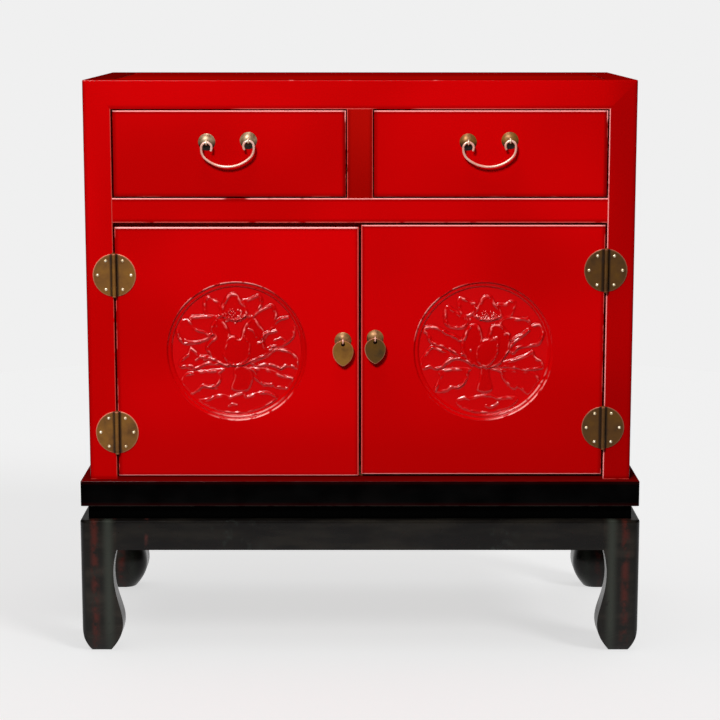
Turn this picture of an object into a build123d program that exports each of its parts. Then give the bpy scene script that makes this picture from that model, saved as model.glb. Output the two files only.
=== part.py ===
from build123d import *
import os

os.makedirs("parts", exist_ok=True)

# A low cabinet of lacquered wood on a black stand: two drawers over two doors.
# Millimetres. X runs to the right, Y to the back, Z up; the origin is on the
# floor under the middle of the stand.

# ---------------------------------------------------------------- case sizes
case_width = 900
case_depth = 420
post_size = 45  # width and depth of the corner posts, and depth of the top rails
top_rail_height = 47
drawer_opening_height = 144.5
mid_rail_height = 40.5
door_opening_height = 425
sill_height = 4  # front lip of the bottom board, under the doors
divider_width = 42
front_thick = 22  # divider, and mid rail in front of its lip
case_edge_radius = 2
cut_extra = 1  # how far a cut runs past the face that it opens
edge_fit = 0.1  # how near an edge has to be to where it is looked for

panel_thick = 14  # side boards
panel_recess = 4  # side and back boards lie this far inside the posts' faces
back_thick = 12
tongue_thick = 6  # tongues that hold the boards in the posts and rails
tongue_depth = 8
tongue_end_gap = 1
top_panel_thick = 18
top_panel_drop = 1.5  # top panel below the top of its frame
top_panel_gap = 1  # shadow line around the top panel
floor_thick = 14
dust_board_thick = 12
door_stop_drop = 14  # mid rail's lip behind the doors
door_stop_depth = 18
tenon_thick = 10
tenon_length = 20
tenon_shoulder = 8

shelf_thick = 14
shelf_height = 198  # underside of the shelf above the floor board
shelf_setback = 50
shelf_gap = 1
cleat_height = 20
cleat_thick = 15

# ------------------------------------------------------------------- doors
door_thick = 22
door_side_gap = 3
door_top_gaps = {"left": 7, "right": 3.5}
door_bottom_gaps = {"left": 2, "right": 4.5}
door_middle_gap = 3.6
meeting_radius = 2.4  # the arrises where the doors meet have worn rounder
door_stop_gap = 0.4
arris_radius = 1.2
medallion_radius = 116
medallion_bevel = 5
medallion_depth = 6
medallion_shift = 2  # medallion nearer to the hinges than the door's middle
medallion_height = 511
batten_width = 40
batten_thick = 14
batten_side_gap = 38
batten_end_gap = 55

# ------------------------------------------------------------------ drawers
drawer_outer_gaps = {"left": 3, "right": 2.2}
drawer_inner_gap = 1.8
drawer_top_gap = 2.2
drawer_bottom_gap = 2.2
drawer_front_thick = 20
drawer_side_thick = 12
drawer_bottom_thick = 7
drawer_bottom_lift = 12  # underside of the bottom above the sides' lower edge
drawer_groove = 5
drawer_length = 345
drawer_side_drop = 15  # sides below the top of the front
drawer_back_drop = 8  # back below the top of the sides
drawer_run_gap = 0.4  # sides above the board that they slide on
drawer_guide_gap = 0.5
drawer_kick_gap = 1
guide_height = 50
kicker_width = 20
kicker_bearing = 22  # kickers under the front and rear rails
drawer_stop_gap = 0.4
drawer_stop_length = 40
drawer_stop_depth = 16
drawer_stop_height = 9

# -------------------------------------------------------------------- stand
overhang = 15  # slab beyond the case, all round
slab_thick = 43
slab_rail_width = 70
slab_edge_radius = 1.5
stand_swell = 3  # legs beyond the slab at the sides
waist_height = 24.5
waist_inset = 14
waist_thick = 18
apron_height = 50.5
apron_thick = 24
ledge_radius = 4
leg_block = 61  # width of the leg where the aprons meet it
leg_corner_radius = 13
leg_inner_radius = 28  # rounding of the corner under the cabinet
leg_clear_height = 177  # floor to the underside of the aprons
foot_inset = 15  # sole behind the leg's outer face
foot_width = 32.6
foot_curve_height = 45
foot_bulge_inset = 5  # a point on the foot's front curve
foot_bulge_height = 19.5
toe_lean = 0.75  # leaning of the leg's curves at their ends, sideways per unit of height
heel_lean = 0.78
bracket_lean = 0.3
heel_height = 49  # where the foot is widest
heel_width = 69.5
ankle_height = 122  # where the leg is narrowest
ankle_width = 55.5
leg_tenon = 18
leg_tenon_height = 22
apron_tenon_height = 28
apron_tenon_length = 15

# ----------------------------------------------------------------- hardware
hinge_radius = 35.5
hinge_plate_thick = 1.6
hinge_heights = (375, 638)
hinge_lifts = {"left": 0, "right": 8}  # the right-hand pair was set a little higher
barrel_radius = 4
barrel_clearance = 0.3
pin_radius = 2
pin_head_radius = 3
pin_head_height = 1.2
pin_fit = 0.05
middle_knuckle = 28
knuckle_gap = 0.3
hinge_notch = 3.7  # plate edge from the axis beside the other leaf's knuckle
plate_bevel = 0.5

nail_circle = 27.5
nail_angle = 60
nail_head_radius = 2.6
nail_head_height = 1.7
nail_radius = 0.8
nail_length = 9
nail_fit = 0.05

rosette_radius = 14
rosette_height = 5.2
eye_wire_radius = 1.2
eye_hole_radius = 2.25
eye_offset = 10  # eye's centre in front of the board
shank_radius = 1.6
shank_fit = 0.05
clench_length = 14
clench_width = 3
clench_thick = 1.2

pull_offsets = {"left": 28, "right": 25}  # pulls from the middle of the case
pull_heights = {"left": 529, "right": 533}
pendant_width = 34.6
pendant_widest = 15  # widest point below the pivot
pendant_drop = 41.4
pendant_thick = 1.6
pendant_bridge = 3.2  # metal above the hole, which hangs in the eye
pendant_hole_radius = 3.3
pendant_edge = 0.5
pendant_stud_radius = 1.1
pendant_stud_height = 0.7
pendant_stud_drop = 11.5

bail_wire_radius = 1.9
bail_spread = 68  # between the eyes
bail_drop = 40.7
bail_bottom_radius = 54
bail_bottom_angle = 41.6  # half the angle of the bottom arc
bail_shoulder_radius = 20.3
bail_end_radius = 8.6
bail_curl_radius = 8.2
bail_tip_radius = 12
bail_tip_angle = 24
bail_lift = 20.2  # eyes above the middle of the drawer front
bail_shift = 2.9  # handles to the left of the middle of the drawers
bail_tilt = 2.1  # the right eye is a little higher than the left one

# ----------------------------------------------------- places that follow
slab_width = case_width + 2 * overhang
slab_depth = case_depth + 2 * overhang
stand_width = slab_width + 2 * stand_swell
stand_depth = slab_depth
ledge_z = leg_clear_height + apron_height
slab_z = ledge_z + waist_height
case_z = slab_z + slab_thick
sill_z = case_z + sill_height
mid_rail_z = sill_z + door_opening_height
drawer_z = mid_rail_z + mid_rail_height
top_rail_z = drawer_z + drawer_opening_height
top_z = top_rail_z + top_rail_height
floor_z = case_z + floor_thick

front_y = -case_depth / 2
rear_y = case_depth / 2
post_in_x = case_width / 2 - post_size
post_in_y = case_depth / 2 - post_size
side_in_x = case_width / 2 - panel_recess - panel_thick
back_in_y = rear_y - panel_recess - back_thick
door_back_y = front_y + door_thick
stop_y = door_back_y + door_stop_gap
mid_rail_back_y = stop_y + door_stop_depth

hinge_x = post_in_x - door_side_gap / 2
hinge_y = front_y - barrel_radius - barrel_clearance
pivot_y = front_y - eye_offset
eye_major_radius = eye_hole_radius + eye_wire_radius

signs = {"left": -1, "right": 1}
# direction along each side and the way it faces
facings = {
    "front": ((1, 0, 0), (0, -1, 0)),
    "rear": ((-1, 0, 0), (0, 1, 0)),
    "left": ((0, -1, 0), (-1, 0, 0)),
    "right": ((0, 1, 0), (1, 0, 0)),
}


def save(piece, name):
    piece.part.label = name
    export_step(piece.part, f"parts/{name}.step")


def block(x, y, z, mode=Mode.ADD):
    """A box between the low and high values of x, y and z."""
    with Locations(((x[0] + x[1]) / 2, (y[0] + y[1]) / 2, (z[0] + z[1]) / 2)):
        Box(x[1] - x[0], y[1] - y[0], z[1] - z[0], mode=mode)


def span(sign, a, b):
    """The range between a and b, on the side that sign gives."""
    return tuple(sorted((sign * a, sign * b)))


def rod(radius, x, z, y_from, y_to, mode=Mode.ADD):
    """A round bar or hole from front to back."""
    with Locations((x, (y_from + y_to) / 2, z)):
        Cylinder(radius, abs(y_to - y_from), rotation=(90, 0, 0), mode=mode)


def side_reach(name, width, depth):
    """Half the length of a side, and its distance from the middle."""
    if name in ("front", "rear"):
        return width / 2, depth / 2
    return depth / 2, width / 2


def side_block(name, reach, along, inset, z, mode=Mode.ADD):
    """A box on a side; along is its range beside the side's middle, inset its depth from reach."""
    across = span(-1 if name in ("front", "left") else 1, reach - inset[0], reach - inset[1])
    if name in ("front", "rear"):
        block(along, across, z, mode=mode)
    else:
        block(across, along, z, mode=mode)


def plan_plane(name, reach, z):
    """Level plane on a side: x along the side, y inwards."""
    along, outward = facings[name]
    return Plane(origin=Vector(*outward) * reach + Vector(0, 0, z), x_dir=along, z_dir=(0, 0, 1))


def upright_plane(name, reach):
    """Upright plane on a side: x along the side, y up, z outwards."""
    along, outward = facings[name]
    return Plane(origin=Vector(*outward) * reach, x_dir=along, z_dir=outward)


def hinge_centres(side):
    return [(signs[side] * hinge_x, height + hinge_lifts[side]) for height in hinge_heights]


def nail_places(side, direction):
    """Nails of the leaves on one side of the pins; direction is +1 to the right."""
    places = []
    for x, z in hinge_centres(side):
        for turn in (-nail_angle, 0, nail_angle):
            place = Vector(nail_circle, 0, 0).rotate(Axis.Z, turn)
            places.append((x + direction * place.X, z + place.Y))
    return places


def nail_holes(side, direction):
    """Holes for the nails in the wood behind the leaves."""
    for x, z in nail_places(side, direction):
        rod(nail_radius + nail_fit, x, z, front_y - cut_extra, front_y + nail_length, Mode.SUBTRACT)


def shank_hole(x, z, back_y):
    """Hole for an eye through a front board."""
    rod(shank_radius + shank_fit, x, z, front_y - cut_extra, back_y + cut_extra, Mode.SUBTRACT)


def mitred(half, width):
    """Plan of a frame member with mitred ends, its outer edge on the x axis."""
    return [(-half, 0), (half, 0), (half - width, width), (width - half, width)]


# ==================================================================== stand
leg_stub_inset = waist_inset + waist_thick
leg_tenon_inset = leg_stub_inset + (leg_block - leg_stub_inset - leg_tenon) / 2
apron_tenon_inset = (apron_thick - tenon_thick) / 2
apron_tenon_z = leg_clear_height + (apron_height - apron_tenon_height) / 2


def leg_outline(edge, sign):
    """A leg seen from one side; edge is the distance of its outer face."""

    def at(inset, height):
        return (sign * (edge - inset), height)

    with BuildLine() as outline:
        Line(at(foot_inset + foot_width, 0), at(foot_inset, 0))
        Spline(
            at(foot_inset, 0),
            at(foot_bulge_inset, foot_bulge_height),
            at(0, foot_curve_height),
            tangents=((sign * toe_lean, 1), (0, 1)),
        )
        Polyline(
            at(0, foot_curve_height),
            at(0, ledge_z),
            at(leg_block, ledge_z),
            at(leg_block, leg_clear_height),
        )
        Spline(
            at(leg_block, leg_clear_height),
            at(ankle_width, ankle_height),
            at((ankle_width + heel_width) / 2, (ankle_height + heel_height) / 2),
            at(heel_width, heel_height),
            at(foot_inset + foot_width, 0),
            tangents=((sign * bracket_lean, -1), (sign * heel_lean, -1)),
        )
    return outline.line


def inner_edges(leg, sign_x, sign_y):
    """The edges of a leg's corner under the cabinet, from the sole to the ledge."""

    def inner(edge):
        point = edge @ 0.5
        inset_x = stand_width / 2 - sign_x * point.X
        inset_y = stand_depth / 2 - sign_y * point.Y
        return inset_x > ankle_width - 1 and abs(inset_x - inset_y) < edge_fit

    return leg.edges().filter_by(inner)


def apron_tenon(name, mode):
    """The two tenons of an apron, or their mortises in the legs."""
    half, reach = side_reach(name, stand_width, stand_depth)
    for sign in (-1, 1):
        side_block(
            name,
            reach,
            span(sign, half - leg_block, half - leg_block + apron_tenon_length),
            (apron_tenon_inset, apron_tenon_inset + tenon_thick),
            (apron_tenon_z, apron_tenon_z + apron_tenon_height),
            mode=mode,
        )


def leg_tenon_block(sign_x, sign_y, mode):
    """The tenon on top of a leg, or its mortise in the slab's frame."""
    low = leg_tenon_inset
    high = leg_tenon_inset + leg_tenon
    block(
        span(sign_x, stand_width / 2 - low, stand_width / 2 - high),
        span(sign_y, stand_depth / 2 - low, stand_depth / 2 - high),
        (slab_z, slab_z + leg_tenon_height),
        mode=mode,
    )


# what the ledge's rounded outer edge and the legs' rounded corners lie within
with BuildPart() as stand_form:
    block(
        (-stand_width / 2, stand_width / 2),
        (-stand_depth / 2, stand_depth / 2),
        (0, ledge_z),
    )
    fillet(stand_form.edges().filter_by(Axis.Z), radius=leg_corner_radius)
    fillet(stand_form.faces().sort_by(Axis.Z)[-1].edges(), radius=ledge_radius)

for row, sign_y in (("front", -1), ("rear", 1)):
    for side, sign_x in signs.items():
        with BuildPart() as leg:
            with BuildSketch(Plane.XZ):
                add(leg_outline(stand_width / 2, sign_x))
                make_face()
            extrude(amount=stand_depth, both=True)
            with BuildSketch(Plane.YZ):
                add(leg_outline(stand_depth / 2, sign_y))
                make_face()
            extrude(amount=stand_width, both=True, mode=Mode.INTERSECT)
            add(stand_form.part, mode=Mode.INTERSECT)
            fillet(inner_edges(leg, sign_x, sign_y), radius=leg_inner_radius)
            block(
                span(sign_x, stand_width / 2 - leg_stub_inset, stand_width / 2 - leg_block),
                span(sign_y, stand_depth / 2 - leg_stub_inset, stand_depth / 2 - leg_block),
                (ledge_z, slab_z),
            )
            leg_tenon_block(sign_x, sign_y, Mode.ADD)
            apron_tenon(row, Mode.SUBTRACT)
            apron_tenon(side, Mode.SUBTRACT)
        save(leg, f"leg_{row}_{side}")

# each apron is one board with the waist above it
for name in facings:
    half, reach = side_reach(name, stand_width, stand_depth)
    with BuildPart() as apron:
        side_block(
            name,
            reach,
            (leg_block - half, half - leg_block),
            (0, apron_thick),
            (leg_clear_height, ledge_z),
        )
        add(stand_form.part, mode=Mode.INTERSECT)
        with BuildSketch(plan_plane(name, reach - waist_inset, ledge_z)):
            Polygon(*mitred(half - waist_inset, waist_thick), align=None)
        extrude(amount=waist_height)
        apron_tenon(name, Mode.ADD)
    save(apron, f"apron_{name}")

# the slab is a mitred frame, open in the middle under the case
with BuildPart() as slab_form:
    block(
        (-slab_width / 2, slab_width / 2),
        (-slab_depth / 2, slab_depth / 2),
        (slab_z, case_z),
    )
    fillet(slab_form.edges(), radius=slab_edge_radius)

for name in facings:
    half, reach = side_reach(name, slab_width, slab_depth)
    with BuildPart() as slab_rail:
        with BuildSketch(plan_plane(name, reach, slab_z)):
            Polygon(*mitred(half, slab_rail_width), align=None)
        extrude(amount=slab_thick)
        add(slab_form.part, mode=Mode.INTERSECT)
        for sign_x in (-1, 1):
            for sign_y in (-1, 1):
                leg_tenon_block(sign_x, sign_y, Mode.SUBTRACT)
    save(slab_rail, f"slab_rail_{name}")

# ===================================================================== case
panel_tongue_x = case_width / 2 - panel_recess - (panel_thick + tongue_thick) / 2
back_tongue_y = rear_y - panel_recess - (back_thick + tongue_thick) / 2
top_tongue_z = top_z - top_panel_drop - (top_panel_thick + tongue_thick) / 2
rail_tenon_z = (mid_rail_z + tenon_shoulder, drawer_z - tenon_shoulder)
rail_tenon_y = (front_y + (front_thick - tenon_thick) / 2, front_y + (front_thick + tenon_thick) / 2)
divider_tenon_x = (-divider_width / 2 + tenon_shoulder, divider_width / 2 - tenon_shoulder)


def side_tongue(sign, end_gap, mode):
    """The tongue round a side board, or the groove for it."""
    block(
        span(sign, panel_tongue_x, panel_tongue_x + tongue_thick),
        (-post_in_y - tongue_depth - end_gap, post_in_y + tongue_depth + end_gap),
        (case_z, top_rail_z + tongue_depth + end_gap),
        mode=mode,
    )


def back_tongue(end_gap, mode):
    """The tongue round the back board, or the groove for it."""
    block(
        (-post_in_x - tongue_depth - end_gap, post_in_x + tongue_depth + end_gap),
        (back_tongue_y, back_tongue_y + tongue_thick),
        (case_z, top_rail_z + tongue_depth + end_gap),
        mode=mode,
    )


def top_tongue(end_gap, mode):
    """The tongue round the top panel, or the groove for it."""
    reach = tongue_depth + end_gap
    block(
        (-post_in_x - reach, post_in_x + reach),
        (-post_in_y - reach, post_in_y + reach),
        (top_tongue_z, top_tongue_z + tongue_thick),
        mode=mode,
    )


def rail_tenons(mode):
    """The mid rail's tenons, or their mortises in the front posts."""
    for sign in (-1, 1):
        block(span(sign, post_in_x, post_in_x + tenon_length), rail_tenon_y, rail_tenon_z, mode=mode)


def divider_tenons(mode):
    """The divider's tenons, or their mortises in the rails."""
    block(divider_tenon_x, rail_tenon_y, (drawer_z - tenon_shoulder, drawer_z), mode=mode)
    block(divider_tenon_x, rail_tenon_y, (top_rail_z, top_rail_z + tenon_shoulder), mode=mode)


with BuildPart() as case_form:
    block((-case_width / 2, case_width / 2), (front_y, rear_y), (case_z, top_z))
    fillet(case_form.edges().filter_by(Axis.Z), radius=case_edge_radius)
    fillet(case_form.faces().sort_by(Axis.Z)[-1].edges(), radius=case_edge_radius)

# posts and top rails meet in three-way mitres, so that every face shows a mitre
for row, sign_y in (("front", -1), ("rear", 1)):
    for side, sign_x in signs.items():
        with BuildPart() as post:
            with BuildSketch(Plane.XZ):
                Polygon(
                    (sign_x * case_width / 2, case_z),
                    (sign_x * post_in_x, case_z),
                    (sign_x * post_in_x, top_rail_z),
                    (sign_x * case_width / 2, top_z),
                    align=None,
                )
            extrude(amount=case_depth, both=True)
            with BuildSketch(Plane.YZ):
                Polygon(
                    (sign_y * rear_y, case_z),
                    (sign_y * post_in_y, case_z),
                    (sign_y * post_in_y, top_rail_z),
                    (sign_y * rear_y, top_z),
                    align=None,
                )
            extrude(amount=case_width, both=True, mode=Mode.INTERSECT)
            add(case_form.part, mode=Mode.INTERSECT)
            side_tongue(sign_x, tongue_end_gap, Mode.SUBTRACT)
            if row == "rear":
                back_tongue(tongue_end_gap, Mode.SUBTRACT)
            else:
                rail_tenons(Mode.SUBTRACT)
                nail_holes(side, sign_x)
        save(post, f"post_{row}_{side}")

for name in facings:
    half, reach = side_reach(name, case_width, case_depth)
    with BuildPart() as top_rail:
        with BuildSketch(plan_plane(name, reach, top_rail_z)):
            Polygon(*mitred(half, post_size), align=None)
        extrude(amount=top_rail_height)
        with BuildSketch(upright_plane(name, reach)):
            Polygon(
                (-half, top_z),
                (half, top_z),
                (half - post_size, top_rail_z),
                (post_size - half, top_rail_z),
                align=None,
            )
        extrude(amount=-post_size, mode=Mode.INTERSECT)
        add(case_form.part, mode=Mode.INTERSECT)
        top_tongue(tongue_end_gap, Mode.SUBTRACT)
        if name == "front":
            divider_tenons(Mode.SUBTRACT)
        elif name == "rear":
            back_tongue(tongue_end_gap, Mode.SUBTRACT)
        else:
            side_tongue(signs[name], tongue_end_gap, Mode.SUBTRACT)
    save(top_rail, f"top_rail_{name}")

with BuildPart() as top_panel:
    block(
        (-post_in_x + top_panel_gap, post_in_x - top_panel_gap),
        (-post_in_y + top_panel_gap, post_in_y - top_panel_gap),
        (top_z - top_panel_drop - top_panel_thick, top_z - top_panel_drop),
    )
    fillet(top_panel.faces().sort_by(Axis.Z)[-1].edges(), radius=arris_radius)
    top_tongue(0, Mode.ADD)
save(top_panel, "top_panel")

with BuildPart() as mid_rail:
    block((-post_in_x, post_in_x), (front_y, mid_rail_back_y), (mid_rail_z, drawer_z))
    fillet(
        mid_rail.faces().sort_by(Axis.Y)[0].edges().filter_by(Axis.X),
        radius=arris_radius,
    )
    block(
        (-post_in_x, post_in_x),
        (stop_y, mid_rail_back_y),
        (mid_rail_z - door_stop_drop, mid_rail_z),
    )
    rail_tenons(Mode.ADD)
    divider_tenons(Mode.SUBTRACT)
save(mid_rail, "mid_rail")

with BuildPart() as drawer_divider:
    block(
        (-divider_width / 2, divider_width / 2),
        (front_y, front_y + front_thick),
        (drawer_z, top_rail_z),
    )
    fillet(
        drawer_divider.faces().sort_by(Axis.Y)[0].edges().filter_by(Axis.Z),
        radius=arris_radius,
    )
    divider_tenons(Mode.ADD)
save(drawer_divider, "drawer_divider")

for side, sign in signs.items():
    with BuildPart() as side_panel:
        block(
            span(sign, side_in_x, side_in_x + panel_thick),
            (-post_in_y, post_in_y),
            (case_z, top_rail_z),
        )
        side_tongue(sign, 0, Mode.ADD)
    save(side_panel, f"side_panel_{side}")

with BuildPart() as back_panel:
    block(
        (-post_in_x, post_in_x),
        (back_in_y, back_in_y + back_thick),
        (case_z, top_rail_z),
    )
    back_tongue(0, Mode.ADD)
save(back_panel, "back_panel")


def inside_board(start_y, z, gap=0):
    """A level board that fills the case round the posts, from start_y to the back."""
    block(
        (-side_in_x + gap, side_in_x - gap),
        (max(start_y, -post_in_y), post_in_y - gap),
        z,
    )
    block((-post_in_x + gap, post_in_x - gap), (start_y, back_in_y - gap), z)


with BuildPart() as bottom_board:
    inside_board(front_y, (case_z, floor_z))
    block((-post_in_x, post_in_x), (front_y, stop_y), (sill_z, floor_z), Mode.SUBTRACT)
save(bottom_board, "bottom_board")

with BuildPart() as dust_board:
    inside_board(mid_rail_back_y, (drawer_z - dust_board_thick, drawer_z))
save(dust_board, "dust_board")

shelf_z = floor_z + shelf_height
shelf_front_y = front_y + shelf_setback
with BuildPart() as shelf:
    inside_board(shelf_front_y, (shelf_z, shelf_z + shelf_thick), shelf_gap)
    fillet(
        shelf.faces().sort_by(Axis.Y)[0].edges().filter_by(Axis.X),
        radius=arris_radius,
    )
save(shelf, "shelf")

with BuildPart() as shelf_cleats:
    for sign in (-1, 1):
        block(
            span(sign, side_in_x - cleat_thick, side_in_x),
            (shelf_front_y, post_in_y),
            (shelf_z - cleat_height, shelf_z),
        )
save(shelf_cleats, "shelf_cleats")

# ================================================================== drawers
drawer_front_z = (drawer_z + drawer_bottom_gap, top_rail_z - drawer_top_gap)
drawer_side_z = (drawer_z + drawer_run_gap, drawer_front_z[1] - drawer_side_drop)
drawer_bottom_z = drawer_side_z[0] + drawer_bottom_lift
drawer_front_y = (front_y, front_y + drawer_front_thick)
drawer_back_y = front_y + drawer_length
drawer_inner_x = divider_width / 2 + drawer_inner_gap
bail_z = (drawer_front_z[0] + drawer_front_z[1]) / 2 + bail_lift


def drawer_outer_x(side):
    """Outer edge of a drawer front, from the middle of the case."""
    return post_in_x - drawer_outer_gaps[side]


def bail_x(side):
    return signs[side] * (drawer_inner_x + drawer_outer_x(side)) / 2 - bail_shift


def bail_eyes(side):
    """Places of the two eyes that a handle hangs in."""
    places = []
    for half in (-1, 1):
        eye = Vector(half * bail_spread / 2, 0, 0).rotate(Axis.Z, bail_tilt)
        places.append((bail_x(side) + eye.X, bail_z + eye.Y))
    return places


def drawer_bottom_plate(side, end_gap, mode):
    """The bottom that slides into the grooves, or the grooves."""
    reach = drawer_groove + end_gap - drawer_side_thick
    block(
        span(signs[side], drawer_inner_x - reach, drawer_outer_x(side) + reach),
        (drawer_front_y[1] - drawer_groove - end_gap, drawer_back_y),
        (drawer_bottom_z, drawer_bottom_z + drawer_bottom_thick),
        mode=mode,
    )


# guides beside the drawers, kickers above their sides and stops behind their fronts
drawer_stop_y = drawer_front_y[1] + drawer_stop_gap
kicker_y = (-post_in_y - kicker_bearing, post_in_y + kicker_bearing)
kicker_z = (drawer_side_z[1] + drawer_kick_gap, top_rail_z)
guide_y = (-post_in_y, post_in_y)
guide_z = (drawer_z, drawer_z + guide_height)
with BuildPart() as drawer_guides:
    block(
        (-drawer_inner_x + drawer_guide_gap, drawer_inner_x - drawer_guide_gap),
        (front_y + front_thick, back_in_y),
        guide_z,
    )
    block(
        (-drawer_inner_x - kicker_width, drawer_inner_x + kicker_width),
        kicker_y,
        kicker_z,
    )
    for side, sign in signs.items():
        block(span(sign, drawer_outer_x(side) + drawer_guide_gap, side_in_x), guide_y, guide_z)
        block(span(sign, drawer_outer_x(side) - kicker_width, post_in_x), kicker_y, kicker_z)
        # stops on the mid rail, behind the ends of the drawer front
        for edge, direction in ((drawer_inner_x, 1), (drawer_outer_x(side), -1)):
            block(
                span(
                    sign,
                    edge + direction * drawer_side_thick,
                    edge + direction * (drawer_side_thick + drawer_stop_length),
                ),
                (drawer_stop_y, drawer_stop_y + drawer_stop_depth),
                (drawer_z, drawer_z + drawer_stop_height),
            )
save(drawer_guides, "drawer_guides")

for side, sign in signs.items():
    inner = drawer_inner_x
    outer = drawer_outer_x(side)

    with BuildPart() as drawer_front:
        block(span(sign, inner, outer), drawer_front_y, drawer_front_z)
        fillet(drawer_front.faces().sort_by(Axis.Y)[0].edges(), radius=arris_radius)
        drawer_bottom_plate(side, tongue_end_gap, Mode.SUBTRACT)
        for x, z in bail_eyes(side):
            shank_hole(x, z, drawer_front_y[1])
    save(drawer_front, f"drawer_{side}_front")

    with BuildPart() as drawer_sides:
        for edge, direction in ((inner, 1), (outer, -1)):
            block(
                span(sign, edge, edge + direction * drawer_side_thick),
                (drawer_front_y[1], drawer_back_y),
                drawer_side_z,
            )
        drawer_bottom_plate(side, tongue_end_gap, Mode.SUBTRACT)
    save(drawer_sides, f"drawer_{side}_sides")

    with BuildPart() as drawer_back:
        block(
            span(sign, inner + drawer_side_thick, outer - drawer_side_thick),
            (drawer_back_y - drawer_side_thick, drawer_back_y),
            (drawer_bottom_z + drawer_bottom_thick, drawer_side_z[1] - drawer_back_drop),
        )
    save(drawer_back, f"drawer_{side}_back")

    with BuildPart() as drawer_bottom:
        drawer_bottom_plate(side, 0, Mode.ADD)
    save(drawer_bottom, f"drawer_{side}_bottom")

# ==================================================================== doors
pull_x = {side: sign * pull_offsets[side] for side, sign in signs.items()}


def door_span(side):
    """Left and right edge of a door."""
    if side == "left":
        return (door_side_gap - post_in_x, -door_middle_gap / 2)
    return (door_middle_gap / 2, post_in_x - door_side_gap)


for side, sign in signs.items():
    low_x, high_x = door_span(side)
    low_z = sill_z + door_bottom_gaps[side]
    high_z = mid_rail_z - door_top_gaps[side]
    with BuildPart() as door:
        block((low_x, high_x), (front_y, door_back_y), (low_z, high_z))
        rim = door.faces().sort_by(Axis.Y)[0].edges().sort_by(Axis.X)
        fillet(rim[-1 if side == "left" else 0], radius=meeting_radius)
        rim = door.faces().sort_by(Axis.Y)[0].edges().sort_by(Axis.X)
        fillet(rim[:-1] if side == "left" else rim[1:], radius=arris_radius)
        # round field for the carving, with a sloping rim
        with Locations(
            (
                (low_x + high_x) / 2 + sign * medallion_shift,
                front_y + medallion_depth / 2,
                medallion_height,
            )
        ):
            Cone(
                medallion_radius - medallion_bevel,
                medallion_radius,
                medallion_depth,
                rotation=(90, 0, 0),
                mode=Mode.SUBTRACT,
            )
        shank_hole(pull_x[side], pull_heights[side], door_back_y)
        nail_holes(side, -sign)
    save(door, f"door_{side}")

    with BuildPart() as battens:
        for z in (low_z + batten_end_gap, high_z - batten_end_gap - batten_width):
            block(
                (low_x + batten_side_gap, high_x - batten_side_gap),
                (door_back_y, door_back_y + batten_thick),
                (z, z + batten_width),
            )
        fillet(
            battens.faces().group_by(Axis.Y)[-1].edges(),
            radius=arris_radius,
        )
    save(battens, f"door_{side}_battens")

# ================================================================= hardware
half_barrel = hinge_radius  # the pins are as long as the plates are high
outer_knuckle = half_barrel - middle_knuckle / 2 - knuckle_gap


def hinge_leaves(leaf_sides, knuckles):
    """Half-round plates with their knuckles; leaf_sides gives (case side, direction of the leaf)."""
    with BuildPart() as leaves:
        for side, direction in leaf_sides:
            for x, z in hinge_centres(side):
                with BuildSketch(Plane(origin=(x, front_y, z), x_dir=(1, 0, 0), z_dir=(0, -1, 0))):
                    Circle(hinge_radius)
                    with Locations((direction * (hinge_notch - hinge_radius), 0)):
                        Rectangle(2 * hinge_radius, 2 * hinge_radius, mode=Mode.SUBTRACT)
                    for middle, length in knuckles:
                        with Locations((direction * hinge_notch / 2, middle)):
                            Rectangle(hinge_notch, length)
                extrude(amount=hinge_plate_thick)
        rims = leaves.faces().sort_by(Axis.Y)[: len(leaf_sides) * len(hinge_heights)].edges()
        chamfer(
            rims.filter_by(GeomType.CIRCLE).filter_by(lambda rim: rim.radius > nail_circle),
            length=plate_bevel,
        )
        for side, direction in leaf_sides:
            for x, z in hinge_centres(side):
                for middle, length in knuckles:
                    with Locations((x, hinge_y, z + middle)):
                        Cylinder(barrel_radius, length)
                        Cylinder(pin_radius + pin_fit, length, mode=Mode.SUBTRACT)
            for x, z in nail_places(side, direction):
                rod(
                    nail_radius + nail_fit,
                    x,
                    z,
                    front_y - hinge_plate_thick - cut_extra,
                    front_y + cut_extra,
                    Mode.SUBTRACT,
                )
    return leaves


# the small brass pieces are made lying on their backs at the origin, then hung upright
with BuildPart() as nail:
    with BuildSketch(Plane.XZ):
        with BuildLine():
            Polyline(
                (0, nail_head_height),
                (0, -nail_length),
                (nail_radius, 2 * nail_radius - nail_length),
                (nail_radius, 0),
                (nail_head_radius, 0),
            )
            TangentArc((0, nail_head_height), (nail_head_radius, 0), tangent=(1, 0))
        make_face()
    revolve(axis=Axis.Z)


def hung(x, y, z):
    """Stands a piece up at a place, with its front to the front."""
    return Location((x, y, z), (90, 0, 0))


def nails(places):
    """Domed nails through the plates."""
    with BuildPart() as group:
        with Locations(*[hung(x, front_y - hinge_plate_thick, z) for x, z in places]):
            add(nail.part)
    return group


outer_knuckles = [
    (end * (half_barrel - outer_knuckle / 2), outer_knuckle) for end in (-1, 1)
]
hinge_leaves_case = hinge_leaves(signs.items(), outer_knuckles)
save(hinge_leaves_case, "hinge_leaves_case")

nails_case = nails([place for side, sign in signs.items() for place in nail_places(side, sign)])
save(nails_case, "nails_case")

with BuildPart() as hinge_pins:
    for side in signs:
        for x, z in hinge_centres(side):
            with Locations((x, hinge_y, z)):
                Cylinder(pin_radius, 2 * half_barrel)
            for end in (-1, 1):
                with Locations((x, hinge_y, z + end * (half_barrel + pin_head_height / 2))):
                    Cylinder(pin_head_radius, pin_head_height)
save(hinge_pins, "hinge_pins")

for side, sign in signs.items():
    hinge_leaves_door = hinge_leaves([(side, -sign)], [(0, middle_knuckle)])
    save(hinge_leaves_door, f"hinge_leaves_door_{side}")

    nails_door = nails(nail_places(side, -sign))
    save(nails_door, f"nails_door_{side}")


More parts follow.
